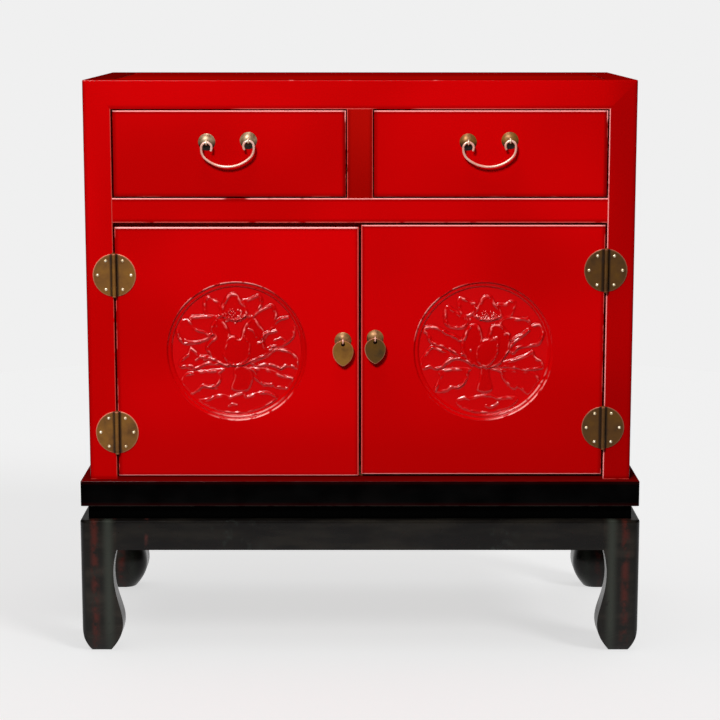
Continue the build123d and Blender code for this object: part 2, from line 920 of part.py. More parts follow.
with BuildPart() as rosette:
    with BuildSketch(Plane.XZ):
        with BuildLine():
            Polyline(
                (shank_radius + shank_fit, rosette_height),
                (shank_radius + shank_fit, 0),
                (rosette_radius, 0),
            )
            TangentArc(
                (shank_radius + shank_fit, rosette_height),
                (rosette_radius, 0),
                tangent=(1, 0),
            )
        make_face()
    revolve(axis=Axis.Z)


def rosettes(places):
    """Domed plates round the eyes."""
    with BuildPart() as group:
        with Locations(*[hung(x, front_y, z) for x, z in places]):
            add(rosette.part)
    return group


def eyes(places, board_back_y):
    """Split pins with a round eye, their legs clenched flat behind the board."""
    with BuildPart() as group:
        for x, z in places:
            with Locations((x, pivot_y, z)):
                Torus(eye_major_radius, eye_wire_radius, rotation=(0, 90, 0))
            rod(shank_radius, x, z, pivot_y + eye_major_radius, board_back_y + clench_thick)
            block(
                (x - clench_length / 2, x + clench_length / 2),
                (board_back_y, board_back_y + clench_thick),
                (z - clench_width / 2, z + clench_width / 2),
            )
    return group


# wire handle: a wide bottom arc, then at each end a shoulder, an arch through the eye and a curl
with BuildPart() as wire_bail:
    with BuildLine() as wire:
        bottom = CenterArc(
            (0, bail_bottom_radius - bail_drop),
            bail_bottom_radius,
            270 - bail_bottom_angle,
            2 * bail_bottom_angle,
        )
        for end, turn in ((0, -1), (1, 1)):
            shoulder = JernArc(
                bottom @ end,
                bottom % end * turn,
                bail_shoulder_radius,
                turn * (90 - bail_bottom_angle),
            )
            rise = Line(shoulder @ 1, ((shoulder @ 1).X, -bail_end_radius))
            arch = JernArc(rise @ 1, rise % 1, bail_end_radius, turn * 90)
            curl = JernArc(arch @ 1, arch % 1, bail_curl_radius, turn * 90)
            JernArc(curl @ 1, curl % 1, bail_tip_radius, turn * bail_tip_angle)
    path = wire.wires()[0]
    with BuildSketch(Plane(origin=path @ 0, z_dir=path % 0)):
        Circle(bail_wire_radius)
    sweep(path=path)
    with Locations(path @ 0, path @ 1):
        Sphere(bail_wire_radius)

# leaf-shaped plate: a round head and two arcs down to a tip; its bridge hangs in the eye
with BuildPart() as leaf:
    with BuildSketch():
        with BuildLine():
            for half in (-1, 1):
                head = TangentArc(
                    (0, pendant_bridge / 2),
                    (half * pendant_width / 2, -pendant_widest),
                    tangent=(half, 0),
                )
                TangentArc(head @ 1, (0, -pendant_drop), tangent=head % 1)
        make_face()
        with Locations((0, -pendant_bridge / 2 - pendant_hole_radius)):
            Circle(pendant_hole_radius, mode=Mode.SUBTRACT)
    extrude(amount=pendant_thick / 2, both=True)
    chamfer(leaf.faces().sort_by(Axis.Z)[-1].outer_wire().edges(), length=pendant_edge)
    with Locations((0, -pendant_stud_drop, (pendant_thick + pendant_stud_height) / 2)):
        Cylinder(pendant_stud_radius, pendant_stud_height)

for side, sign in signs.items():
    place = (pull_x[side], pull_heights[side])

    pull_rosette = rosettes([place])
    save(pull_rosette, f"pull_rosette_{side}")

    pull_eye = eyes([place], door_back_y)
    save(pull_eye, f"pull_eye_{side}")

    with BuildPart() as pendant:
        with Locations(hung(place[0], pivot_y, place[1])):
            add(leaf.part)
    save(pendant, f"pendant_{side}")

    with BuildPart() as bail_mounts:
        add(rosettes(bail_eyes(side)).part)
        add(eyes(bail_eyes(side), drawer_front_y[1]).part)
    save(bail_mounts, f"bail_mounts_{side}")

    with BuildPart() as bail:
        with Locations(hung(bail_x(side), pivot_y, bail_z) * Rotation(0, 0, bail_tilt)):
            add(wire_bail.part)
    save(bail, f"bail_{side}")
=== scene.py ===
import math

import bpy
import numpy as np
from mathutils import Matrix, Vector


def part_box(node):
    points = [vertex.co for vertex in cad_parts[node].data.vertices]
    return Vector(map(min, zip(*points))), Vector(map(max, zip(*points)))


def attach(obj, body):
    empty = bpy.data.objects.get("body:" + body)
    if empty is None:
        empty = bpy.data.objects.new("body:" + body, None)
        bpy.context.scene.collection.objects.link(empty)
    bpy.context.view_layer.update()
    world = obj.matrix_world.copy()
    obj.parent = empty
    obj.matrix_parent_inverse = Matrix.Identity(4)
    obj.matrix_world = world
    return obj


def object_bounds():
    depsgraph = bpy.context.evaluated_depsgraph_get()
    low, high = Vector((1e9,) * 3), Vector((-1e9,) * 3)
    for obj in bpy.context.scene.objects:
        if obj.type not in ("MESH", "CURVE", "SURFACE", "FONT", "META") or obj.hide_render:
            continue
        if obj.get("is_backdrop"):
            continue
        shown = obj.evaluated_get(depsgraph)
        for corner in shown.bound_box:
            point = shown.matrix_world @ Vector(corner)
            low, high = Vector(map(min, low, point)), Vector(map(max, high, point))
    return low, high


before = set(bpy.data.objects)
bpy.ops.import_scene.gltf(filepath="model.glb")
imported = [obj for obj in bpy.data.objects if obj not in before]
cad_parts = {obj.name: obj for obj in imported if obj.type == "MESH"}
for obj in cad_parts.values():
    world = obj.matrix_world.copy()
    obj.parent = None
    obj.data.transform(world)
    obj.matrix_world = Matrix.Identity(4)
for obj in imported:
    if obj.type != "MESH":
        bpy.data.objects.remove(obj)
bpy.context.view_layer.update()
mm = 0.001
print("frame: loaded", len(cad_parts), "nodes")


def linear(hexColour):
    # sRGB hex to linear RGBA
    parts = [int(hexColour[i:i + 2], 16) / 255 for i in (1, 3, 5)]
    return tuple(p / 12.92 if p <= 0.04045 else ((p + 0.055) / 1.055) ** 2.4 for p in parts) + (1.0,)


def addNode(tree, kind, sockets=None, **settings):
    # adds a node; a socket takes either a link from another node or a value
    node = tree.nodes.new(kind)
    for name, value in settings.items():
        setattr(node, name, value)
    for name, value in (sockets or {}).items():
        if isinstance(value, bpy.types.NodeSocket):
            tree.links.new(value, node.inputs[name])
        else:
            node.inputs[name].default_value = value
    return node


def newMaterial(name):
    material = bpy.data.materials.new(name)
    material.use_nodes = True
    tree = material.node_tree
    tree.nodes.clear()
    place = addNode(tree, "ShaderNodeTexCoord").outputs["Object"]
    return material, tree, place


def maths(tree, operation, *values):
    return addNode(tree, "ShaderNodeMath", dict(enumerate(values)), operation=operation).outputs[0]


def times(tree, one, other):
    return maths(tree, "MULTIPLY", one, other)


def awayFrom(tree, value, middle):
    return maths(tree, "ABSOLUTE", maths(tree, "SUBTRACT", value, middle))


def ramp(tree, value, start, end, low=0.0, high=1.0, kind="SMOOTHSTEP"):
    # from low to high as the value goes from start to end
    return addNode(tree, "ShaderNodeMapRange", {
        "Value": value, "From Min": start, "From Max": end, "To Min": low, "To Max": high,
    }, interpolation_type=kind).outputs[0]


def blend(tree, factor, colour, other):
    return addNode(tree, "ShaderNodeMix", {0: factor, 6: colour, 7: other}, data_type="RGBA").outputs[2]


def choose(tree, factor, value, other):
    return addNode(tree, "ShaderNodeMix", {0: factor, 2: value, 3: other}, data_type="FLOAT").outputs[0]


def noise(tree, place, size, detail=0.0, roughness=0.5, output=0):
    # clouds of about this size, in mm
    return addNode(tree, "ShaderNodeTexNoise", {
        "Vector": place, "Scale": 1000 / size, "Detail": detail, "Roughness": roughness,
    }).outputs[output]


def onAxis(tree, place, axis):
    return addNode(tree, "ShaderNodeSeparateXYZ", {0: place}).outputs[axis]


def vectors(tree, operation, one, other):
    return addNode(tree, "ShaderNodeVectorMath", {0: one, 1: other}, operation=operation).outputs[0]


def reachFrom(tree, place, centre, keep=(1, 1, 1)):
    # distance to a point given in mm, measured along the kept axes only
    across = vectors(tree, "MULTIPLY", vectors(tree, "SUBTRACT", place, Vector(centre) * mm), keep)
    return addNode(tree, "ShaderNodeVectorMath", {0: across}, operation="LENGTH").outputs["Value"]


def bump(tree, height, strength, depth, under=None):
    # unevenness of a surface; depth in mm
    sockets = {"Height": height, "Strength": strength, "Distance": depth * mm}
    if under is not None:
        sockets["Normal"] = under
    return addNode(tree, "ShaderNodeBump", sockets).outputs[0]


def finishWith(tree, sockets):
    shader = addNode(tree, "ShaderNodeBsdfPrincipled", sockets)
    addNode(tree, "ShaderNodeOutputMaterial", {"Surface": shader.outputs[0]})


def dress(nodeName, material):
    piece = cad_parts[nodeName]
    piece.data.materials.clear()
    piece.data.materials.append(material)


def boxOf(nodeName):
    low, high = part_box(nodeName)
    return low / mm, high / mm


def aim(lamp, target):
    lamp.rotation_euler = (Vector(target) - lamp.location).to_track_quat("-Z", "Y").to_euler()


view = {"lens": 104.56, "sensor": 36, "distance": 3.6207, "height": 1.0674, "tilt": 0.1658}
bpy.ops.object.camera_add(
    location=(0, -view["distance"], view["height"]),
    rotation=(math.pi / 2 - view["tilt"], 0, 0),
)
camera = bpy.context.object
camera.data.lens = view["lens"]
camera.data.sensor_width = view["sensor"]
bpy.context.scene.camera = camera
print("camera: placed")

# studio: a pale sheet, an even background, and lamps of which some reach only the sheet
studio = {
    "floorRadius": 2.0,
    "floorSides": 96,
    "floorPlace": (0, 0.85, -0.0004),
    "floorColour": 0.56,
    "floorGlow": 0.636,
    "background": 0.871,
    "ambient": 0.11,
    "darkFront": 0.0,
    "frontToBack": (0.1, 0.6),
    "lampTarget": (0, -0.2, 0.6),
    "keyPlace": (-1.5, -4.8, 4.1),
    "keyPower": 322,
    "keySize": 1.1,
    "topPlace": (0.0, -2.4, 2.3),
    "topPower": 6,
    "topSize": 0.5,
    "overheadPlace": (-0.2, -0.55, 2.7),
    "overheadPower": 16,
    "overheadSize": 0.8,
    "sheetTarget": (0, 0, 0.12),
    "skyPlace": (0, -0.01, 3),
    "skyStrength": 0.58,
    "skyAngle": 70,
    "sunPlace": (1.5, -1.5, 1.6),
    "sunStrength": 0.75,
    "sunAngle": 16,
}
white = (1, 1, 1, 1)

bpy.ops.object.select_all(action="DESELECT")
bpy.ops.mesh.primitive_circle_add(
    vertices=studio["floorSides"], radius=studio["floorRadius"], fill_type="NGON",
    location=studio["floorPlace"],
)
floor = bpy.context.object
floor.name = "floorSheet"
bpy.ops.object.transform_apply(location=True, rotation=True, scale=True)
floor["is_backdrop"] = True

# matt paper sheet: even and pale, it keeps a soft shadow
material, tree, place = newMaterial("mattPaperSheet")
rays = addNode(tree, "ShaderNodeLightPath").outputs
seen = maths(tree, "MAXIMUM", rays["Is Camera Ray"], rays["Is Glossy Ray"])
seen = maths(tree, "MAXIMUM", seen, rays["Is Transmission Ray"])
paper = addNode(tree, "ShaderNodeBsdfDiffuse", {"Color": (studio["floorColour"],) * 3 + (1,)})
lift = addNode(tree, "ShaderNodeEmission", {
    "Color": white, "Strength": times(tree, seen, studio["floorGlow"]),
})
both = addNode(tree, "ShaderNodeAddShader", {0: paper.outputs[0], 1: lift.outputs[0]})
addNode(tree, "ShaderNodeOutputMaterial", {"Surface": both.outputs[0]})
floor.data.materials.append(material)

world = bpy.data.worlds.new("paleStudio")
bpy.context.scene.world = world
world.use_nodes = True
tree = world.node_tree
tree.nodes.clear()
rays = addNode(tree, "ShaderNodeLightPath").outputs
direction = addNode(tree, "ShaderNodeTexCoord").outputs["Generated"]
behind = ramp(
    tree, onAxis(tree, direction, "Y"), *studio["frontToBack"], studio["darkFront"], studio["background"],
)
shiny = maths(tree, "MAXIMUM", rays["Is Glossy Ray"], rays["Is Transmission Ray"])
level = choose(tree, shiny, studio["ambient"], behind)
level = choose(tree, rays["Is Camera Ray"], level, studio["background"])
light = addNode(tree, "ShaderNodeBackground", {"Color": white, "Strength": level})
addNode(tree, "ShaderNodeOutputWorld", {"Surface": light.outputs[0]})

reaches = {}  # which lamps reach the sheet: some only the sheet, some everything but the sheet
for name, state in (("onlySheet", "INCLUDE"), ("allButSheet", "EXCLUDE")):
    reaches[name] = bpy.data.collections.new(name)
    reaches[name].objects.link(floor)
    reaches[name].collection_objects[0].light_linking.link_state = state
for name in ("key", "top", "overhead"):
    bpy.ops.object.light_add(type="AREA", location=studio[name + "Place"])
    lamp = bpy.context.object
    lamp.name = name + "Lamp"
    lamp.data.energy = studio[name + "Power"]
    lamp.data.size = studio[name + "Size"]
    aim(lamp, studio["lampTarget"])
    lamp.light_linking.receiver_collection = reaches["allButSheet"]
for name in ("sky", "sun"):
    bpy.ops.object.light_add(type="SUN", location=studio[name + "Place"])
    lamp = bpy.context.object
    lamp.name = name + "Lamp"
    lamp.data.energy = studio[name + "Strength"]
    lamp.data.angle = math.radians(studio[name + "Angle"])
    aim(lamp, studio["sheetTarget"])
    lamp.light_linking.receiver_collection = reaches["onlySheet"]
bpy.context.scene.view_settings.view_transform = "Standard"
print("studio: floor, background and lamps")

# red lacquer
redCoat = {
    "colour": "#CC0003", "shade": "#BE0001", "cloud": 170, "roughness": 0.2, "specular": 0.12,
    "peel": 0.05, "peelSize": 5, "peelDepth": 0.2, "hand": 0.1, "handSize": 60, "handDepth": 0.8,
}
drawerCoat = dict(redCoat, colour="#C80002", shade="#B80001")
dividerCoat = dict(redCoat, colour="#B80A04", shade="#A80702")
# painted shade: a darker copy of the red coat for the right-hand side of the case
shadedRightCoat = dict(redCoat, colour="#B20001", shade="#A40001")
topCoat = dict(redCoat, colour="#9A0400", shade="#900300", roughness=0.5, specular=0.0)
carvedCoat = dict(redCoat, patches=(0.47, 0.6), roughness=0.2, specular=0.34, peel=0.12, hand=0.15)
ringCoat = dict(carvedCoat, patches=(0.36, 0.48), specular=0.2)
# tints of the arrises and crests: the salmon, dull, stile and brown-red tints are wear; the bright and pink tints and
# the tint of the carving's crests are wear with a painted highlight; the edge tint is a painted shade line on the
# case's outer arris
arrisWearAndLightTints = {
    "bright": "#FFB4B0", "crestSheen": "#FF9C96", "pink": "#FF9A96", "salmon": "#D84E48", "dull": "#B8342E",
    "grey": "#3A3732", "brownRed": "#3A0C0A", "stile": "#BC4038", "edge": "#700001",
}
wearAndPaintedLight = {
    "breakSize": 34,  # mm, of the breaks in a rubbed arris
    "wornAndLitFrom": 0.72,  # noise level above which an arris takes its tint of wear and painted highlight, less the share for its amount
    "wornAndLitShare": 0.44,
    "softness": 0.06,
    # painted shade beside the arrises: how far it reaches, and its tint
    "edgeShadeReach": 8,  # mm
    "edgeShadeTint": "#300000",
    "patchSize": 14,  # mm, of the patches in which the crests of the carving carry wear and a painted highlight
    # painted shade in the hollows of the carving
    "hollowShadeTint": "#7C0000",
    "hollowShadeAmount": 0.45,
    "dulled": (-0.6, 0),  # mm from the arris of an upper face, where its gloss is lost
}


def along(axis, corner, width=1.7, amount=0.8, tint="salmon", span=None, gap=None, edgeShade=0.36):
    # one arris, worn and in places painted with a highlight: the axis it runs along, any point on it and its width in
    # mm, how much of it takes its tint, and how dark the painted shade beside it is
    return {
        "axis": axis, "corner": corner, "width": width, "amount": amount, "tint": tint,
        "span": span, "gap": gap, "edgeShade": edgeShade,
    }


def between(height, rises):
    # two heights in metres, from one height and two rises in mm
    return [(height + rise) * mm for rise in rises]


def paintArrisWearAndLight(tree, place, breaks, colour, arris):
    # painted shade beside the arris, and on it its tint: bare ground, and for the bright and pink tints a painted
    # highlight as well
    keep = [0.0 if letter == arris["axis"] else 1.0 for letter in "XYZ"]
    reach = reachFrom(tree, place, arris["corner"], keep)
    edgeShaded = ramp(tree, reach, arris["width"] * mm, wearAndPaintedLight["edgeShadeReach"] * mm, arris["edgeShade"], 0.0)
    colour = blend(tree, edgeShaded, colour, linear(wearAndPaintedLight["edgeShadeTint"]))
    line = ramp(tree, reach, arris["width"] * 0.6 * mm, arris["width"] * mm, 1.0, 0.0)
    edge = wearAndPaintedLight["wornAndLitFrom"] - wearAndPaintedLight["wornAndLitShare"] * arris["amount"]
    factor = times(tree, line, ramp(tree, breaks, edge - wearAndPaintedLight["softness"], edge + wearAndPaintedLight["softness"]))
    if arris["span"]:  # tinted from here on, with a soft end
        start, end = arris["span"]
        factor = times(tree, factor, ramp(tree, onAxis(tree, place, arris["axis"]), start * mm, end * mm))
    if arris["gap"]:  # left untinted between these places
        start, end = arris["gap"]
        half = abs(end - start) / 2 * mm
        away = awayFrom(tree, onAxis(tree, place, arris["axis"]), (start + end) / 2 * mm)
        factor = times(tree, factor, ramp(tree, away, half * 0.7, half * 1.3))
    return blend(tree, factor, colour, linear(arrisWearAndLightTints[arris["tint"]]))


def lacquer(name, coat, arrises=(), shades=(), matt=None, shadeAndSheenOnRelief=False):
    # sprayed and rubbed lacquer over primer: an even, deep colour with soft gloss, thinner and paler on the arrises,
    # where wear and painted highlights lie beside painted shade
    material, tree, place = newMaterial(name)
    tone = ramp(tree, noise(tree, place, coat["cloud"]), 0.25, 0.75)
    colour = blend(tree, tone, linear(coat["shade"]), linear(coat["colour"]))
    for axis, start, end, shade in shades:  # the coat changes towards one end, or in the sunk places; on the doors, the top and the carving's ground these changes are painted light and shade
        change = ramp(tree, onAxis(tree, place, axis), start * mm, end * mm)
        colour = blend(tree, change, colour, linear(shade))
    breaks = noise(tree, place, wearAndPaintedLight["breakSize"], 3.0, 0.6)
    for arris in arrises:
        colour = paintArrisWearAndLight(tree, place, breaks, colour, arris)
    if shadeAndSheenOnRelief:  # painted highlights, with wear, on the crests of the carving that face up, and painted shade in its hollows
        hollow = addNode(tree, "ShaderNodeAttribute", attribute_name="hollow").outputs["Fac"]
        colour = blend(tree, times(tree, hollow, wearAndPaintedLight["hollowShadeAmount"]), colour, linear(wearAndPaintedLight["hollowShadeTint"]))
        crestSheen = addNode(tree, "ShaderNodeAttribute", attribute_name="crestSheen").outputs["Fac"]
        patches = noise(tree, place, wearAndPaintedLight["patchSize"], 1.0)
        crestSheen = times(tree, crestSheen, ramp(tree, patches, *coat["patches"]))
        colour = blend(tree, crestSheen, colour, linear(arrisWearAndLightTints["crestSheen"]))
    specular = coat["specular"]
    if matt:  # the faces that look up have gone dull
        specular = ramp(tree, onAxis(tree, place, "Z"), *between(matt, wearAndPaintedLight["dulled"]), coat["specular"], 0.0)
    relief = bump(tree, noise(tree, place, coat["peelSize"], 2.0), coat["peel"], coat["peelDepth"])
    relief = bump(tree, noise(tree, place, coat["handSize"]), coat["hand"], coat["handDepth"], relief)
    finishWith(tree, {
        "Base Color": colour, "Roughness": coat["roughness"], "Normal": relief, "Specular IOR Level": specular,
    })
    return material


def faceArrises(nodeName, **sides):
    # the four arrises of a front face, each with its amount and tint
    low, high = boxOf(nodeName)
    places = {
        "top": ("X", (0, low.y, high.z)), "bottom": ("X", (0, low.y, low.z)),
        "left": ("Z", (low.x, low.y, 0)), "right": ("Z", (high.x, low.y, 0)),
    }
    return [along(*places[side], **wornAndLit) for side, wornAndLit in sides.items()]


bothSides = {"left": -1, "right": 1}
faceY, caseX, openingX = -210, 450, 405  # mm: the case's front, its half width and that of its opening
slabLow, slabHigh = boxOf("slab_rail_front")
railLow, railHigh = boxOf("top_rail_front")
midLow, midHigh = boxOf("mid_rail")

# drawer fronts: the upper arris is worn and painted bright with a highlight, the right-hand end here and there
drawerWearAndSheen = {
    "top": {"amount": 1.4, "tint": "pink", "width": 2.5},
    "bottom": {"amount": 0.3, "tint": "dull"},
    "left": {"amount": 0.15, "tint": "dull"},
    "right": {"amount": 0.5, "tint": "salmon"},
}
drawerEnd = {"width": 2.4, "amount": 1.3, "tint": "pink", "span": (885, 897)}
for side in bothSides:
    low, high = boxOf(f"drawer_{side}_front")
    arrises = faceArrises(f"drawer_{side}_front", **drawerWearAndSheen)
    arrises.append(along("Z", (high.x, low.y, 0), **drawerEnd))
    dress(f"drawer_{side}_front", lacquer(f"redLacquerDrawer_{side}", drawerCoat, arrises))

# doors: worn, and painted with highlights, most along the top and where they meet
doorFoot = {"amount": 1.1, "tint": "pink", "width": 1.9, "edgeShade": 0.15}
doorOuter = {"amount": 0.5, "tint": "salmon"}
doorWearAndSheen = {
    "left": {
        "top": {"amount": 1.4, "tint": "bright", "width": 2.9}, "bottom": doorFoot,
        "left": doorOuter, "right": {"amount": 1.1, "tint": "salmon", "width": 2.9},
    },
    "right": {
        "top": {"amount": 1.4, "tint": "pink", "width": 2.3}, "bottom": doorFoot,
        "left": {"amount": 1.1, "tint": "salmon", "width": 2.3}, "right": doorOuter,
    },
}
# painted light and shade: the left door is lighter towards its right-hand edge, both doors darker towards the foot; the
# last tint lies in the sunk place behind the carving
doorShades = {
    "left": [("X", -330, -120, "#D20003"), ("Z", 450, 320, "#BE0002"), ("Y", -208, -204, "#C80406")],
    "right": [("Z", 450, 320, "#B80001"), ("Y", -208, -204, "#C80406")],
}
for side in bothSides:
    arrises = faceArrises(f"door_{side}", **doorWearAndSheen[side])
    dress(f"door_{side}", lacquer(f"redLacquerDoor_{side}", redCoat, arrises, doorShades[side]))

# mid rail and divider
# the upper arris of the mid rail: wear with a painted highlight
midWearAndSheen = {
    "top": {"width": 2.4, "amount": 0.95, "tint": "pink", "gap": (-222, -184)},
    "foot": {"width": 1.6, "amount": 0.7, "tint": "salmon"},
    "faceFoot": 14.5,  # mm, height of the face's foot above that of the lip behind the doors
}
dividerWear = {
    "left": {"amount": 0.7, "tint": "salmon", "width": 1.5},
    "right": {"amount": 1.2, "tint": "salmon", "width": 1.5},
}
dividerShades = [("Z", 905, 765, "#9A0300")]
dress("mid_rail", lacquer("redLacquerMidRail", redCoat, [
    along("X", (0, faceY, midHigh.z), **midWearAndSheen["top"]),
    along("X", (0, faceY, midLow.z + midWearAndSheen["faceFoot"]), **midWearAndSheen["foot"]),
]))
dress("drawer_divider", lacquer(
    "redLacquerDivider", dividerCoat, faceArrises("drawer_divider", **dividerWear), dividerShades,
))

# posts and side panels: the right-hand ones take a darker copy of the coat, which is painted shade
postCoats = {"left": redCoat, "right": shadedRightCoat}
# the outer arris carries a dark painted shade line; the pink inner arris is wear with a painted highlight
postWearAndLight = {
    "inner": {
        "left": {"width": 1.5, "amount": 0.8, "tint": "stile", "edgeShade": 0},
        "right": {"width": 1.9, "amount": 0.8, "tint": "pink", "edgeShade": 0},
    },
    "outer": {"width": 1.5, "amount": 1.3, "tint": "edge", "edgeShade": 0.25},
    "foot": {"width": 1.6, "amount": 0.6, "tint": "dull"},
}
for side, sign in bothSides.items():
    coat = postCoats[side]
    arrises = [
        along("Z", (sign * openingX, faceY, 0), **postWearAndLight["inner"][side]),
        along("Z", (sign * caseX, faceY, 0), **postWearAndLight["outer"]),
        along("X", (0, faceY, slabHigh.z), **postWearAndLight["foot"]),
    ]
    dress(f"post_front_{side}", lacquer(f"redLacquerPost_front_{side}", coat, arrises))
    dress(f"post_rear_{side}", lacquer(f"redLacquerPost_rear_{side}", coat))
    dress(f"side_panel_{side}", lacquer(f"redLacquerPanel_{side}", coat))

# top: rails round a darker panel
topRail = {
    # tints of the upper faces: a darker red, with painted shade making the rear and the left end darker still
    "upperTintsAndShade": {"front": "#8C0200", "rear": "#620100", "left": "#640100", "right": "#840200"},
    "tinted": (-1.6, -0.4),  # mm from the upper face, where the tint of the upper face starts and is full
    # painted shade: the rails darken towards the right-hand end, into the darker right-hand post
    "endShade": ("X", 388, 440, "#AC0001"),
    "arris": 0.5,  # mm from the upper face to its arris
    "upper": {"width": 0.9, "amount": 0.12, "tint": "pink", "edgeShade": 0},
    "foot": {"width": 1.6, "amount": 0.9, "tint": "salmon", "span": (-215, -185), "gap": (20, 90)},
}
# painted shade: the panel darkens towards the rear
topShades = [("Y", 0, 165, "#780200")]
arrisHeight = railHigh.z - topRail["arris"]
frontArrises = [
    along("X", (0, faceY, railLow.z), **topRail["foot"]),
    along("X", (0, faceY, arrisHeight), **topRail["upper"]),
]
for side, tint in topRail["upperTintsAndShade"].items():
    shades = [topRail["endShade"], ("Z", *(railHigh.z + rise for rise in topRail["tinted"]), tint)]
    dress(f"top_rail_{side}", lacquer(
        f"redLacquerTopRail_{side}", shadedRightCoat if side == "right" else redCoat,
        frontArrises if side == "front" else [], shades, matt=arrisHeight,
    ))
dress("top_panel", lacquer("darkRedLacquerTop", topCoat, shades=topShades))
print("lacquer: red pieces")

# black lacquer of the stand
blackCoat = {
    "cloudSize": 26, "cloudStretch": (0.25, 1.0, 1.0), "breakSize": 24,
    "brush": 0.08, "brushSize": 6, "brushDepth": 0.2, "hand": 0.3, "handSize": 45, "handDepth": 0.8,
    "clouded": (0.4, 0.72), "bandFrom": 0.66, "bandTo": 0.86, "bandShare": 0.3,
    "hollow": (0, 0.6), "hollowDull": (-6, -2), "hollowSpecular": 0.01,  # mm from the waist's foot
    "top": (-0.9, -0.2), "reflectedRedTint": "#620403",  # mm from the upper face, where the painted reflection of the red case starts and is full, and its tint
    "glossSpread": (-0.04, 0.08),
}
slabCoat = dict(blackCoat, colour="#020202", cloudColour="#040303", roughness=0.16, specular=0.08)
apronCoat = dict(blackCoat, colour="#100E0D", cloudColour="#1F1C18", roughness=0.26, specular=0.22)
legCoat = dict(blackCoat, colour="#151310", cloudColour="#2A2520", roughness=0.26, specular=0.2)


def blackLacquer(name, coat, bands=(), arrises=(), blackFrom=None, reflectedRedFrom=None):
    # brushed black lacquer over a brown ground: near black, brown where hands and feet have rubbed it, with painted
    # grey reflections and painted shade in some of its bands
    material, tree, place = newMaterial(name)
    stretched = addNode(tree, "ShaderNodeMapping", {"Vector": place, "Scale": coat["cloudStretch"]}).outputs[0]
    clouds = noise(tree, stretched, coat["cloudSize"], 3.0, 0.55)
    colour = blend(tree, ramp(tree, clouds, *coat["clouded"]), linear(coat["colour"]), linear(coat["cloudColour"]))
    breaks = noise(tree, place, coat["breakSize"], 4.0, 0.65)
    for axis, centre, half, amount, tint in bands:
        away = awayFrom(tree, onAxis(tree, place, axis), centre * mm)
        share = coat["bandShare"] * amount
        wornAndLit = ramp(tree, breaks, coat["bandFrom"] - share, coat["bandTo"] - share)
        band = times(tree, ramp(tree, away, 0.0, half * mm, 1.0, 0.0), wornAndLit)
        colour = blend(tree, band, colour, linear(tint))
    for arris in arrises:
        colour = paintArrisWearAndLight(tree, place, breaks, colour, arris)
    specular = coat["specular"]
    height = onAxis(tree, place, "Z")
    if blackFrom:  # the hollow above the aprons has kept its full black
        hollow = ramp(tree, height, *between(blackFrom, coat["hollow"]))
        colour = blend(tree, hollow, colour, linear(slabCoat["colour"]))
        dull = between(blackFrom, coat["hollowDull"])
        specular = ramp(tree, height, *dull, coat["specular"], coat["hollowSpecular"])
    if reflectedRedFrom:  # painted reflection: the upper face takes the dark red that the case above would show in it, and its gloss is taken off
        top = between(reflectedRedFrom, coat["top"])
        colour = blend(tree, ramp(tree, height, *top), colour, linear(coat["reflectedRedTint"]))
        specular = ramp(tree, height, *top, coat["specular"], 0.0)
    hand = noise(tree, place, coat["handSize"], 1.0)
    relief = bump(tree, noise(tree, place, coat["brushSize"], 2.0), coat["brush"], coat["brushDepth"])
    relief = bump(tree, hand, coat["hand"], coat["handDepth"], relief)
    gloss = ramp(tree, hand, 0.3, 0.7, *(coat["roughness"] + spread for spread in coat["glossSpread"]), "LINEAR")
    finishWith(tree, {
        "Base Color": colour, "Roughness": gloss, "Normal": relief, "Specular IOR Level": specular,
    })
    return material


stand = {
    "waist": 24.5,  # mm between the slab and the aprons
    # bands: axis, middle and half width in mm, amount, tint; those of the legs are mirrored. The near-black band at the
    # legs' outer edge is painted shade, the grey bands are painted reflections, the red-brown bands are wear
    "legWearAndLightBands": [(466, 10, 1.6, "#060505"), (444, 10, 0.9, "#471D17"), (421, 13, 1.5, "#333630")],
    "heelBand": (212, 6, 0.6, "#3A1814"),
    "apronWearAndSheenBands": [("X", -357, 5, 0.9, "#42221E"), ("X", -215, 70, 0.5, "#262A27"), ("X", 215, 90, 0.5, "#262A27")],
    "slabTop": {"width": 1.4, "amount": 0.4, "tint": "brownRed"},
    "slabFoot": {"width": 1.2, "amount": 0.6, "tint": "grey"},
}
ledge = slabLow.z - stand["waist"]
for end, endSign in (("front", -1), ("rear", 1)):
    for side, sign in bothSides.items():
        bands = [("X", sign * centre, *band) for centre, *band in stand["legWearAndLightBands"]]
        bands.append(("Y", endSign * stand["heelBand"][0], *stand["heelBand"][1:]))
        dress(f"leg_{end}_{side}", blackLacquer(f"blackLacquerLeg_{end}_{side}", legCoat, bands, blackFrom=ledge))
slabArrises = [
    along("X", (0, slabLow.y, slabHigh.z), **stand["slabTop"]),
    along("X", (0, slabLow.y, slabLow.z), **stand["slabFoot"]),
]
for side in ("front", "rear", "left", "right"):
    isFront = side == "front"
    dress(f"apron_{side}", blackLacquer(
        f"blackLacquerApron_{side}", apronCoat, stand["apronWearAndSheenBands"] if isFront else [], blackFrom=ledge,
    ))
    dress(f"slab_rail_{side}", blackLacquer(
        f"blackLacquerSlab_{side}", slabCoat, arrises=slabArrises if isFront else [], reflectedRedFrom=slabHigh.z,
    ))
print("lacquer: black stand")

# brass: plates, wire handles and nails
platePatina = {
    "light": "#9A6A2E", "middle": "#845826", "dark": "#644018", "rim": "#E89070",
    "metallic": 0.4, "roughness": 0.4,
}
rosettePatina = dict(platePatina, light="#A87C4C", middle="#865A30", dark="#5C3A1C")
# the right-hand hanging plate takes a darker copy of its patina: painted shade
leafPatina = {
    "left": dict(platePatina, light="#B07C34", middle="#946426", dark="#6C4618"),
    "right": dict(platePatina, light="#80581E", middle="#6E4C1A", dark="#503814"),
}
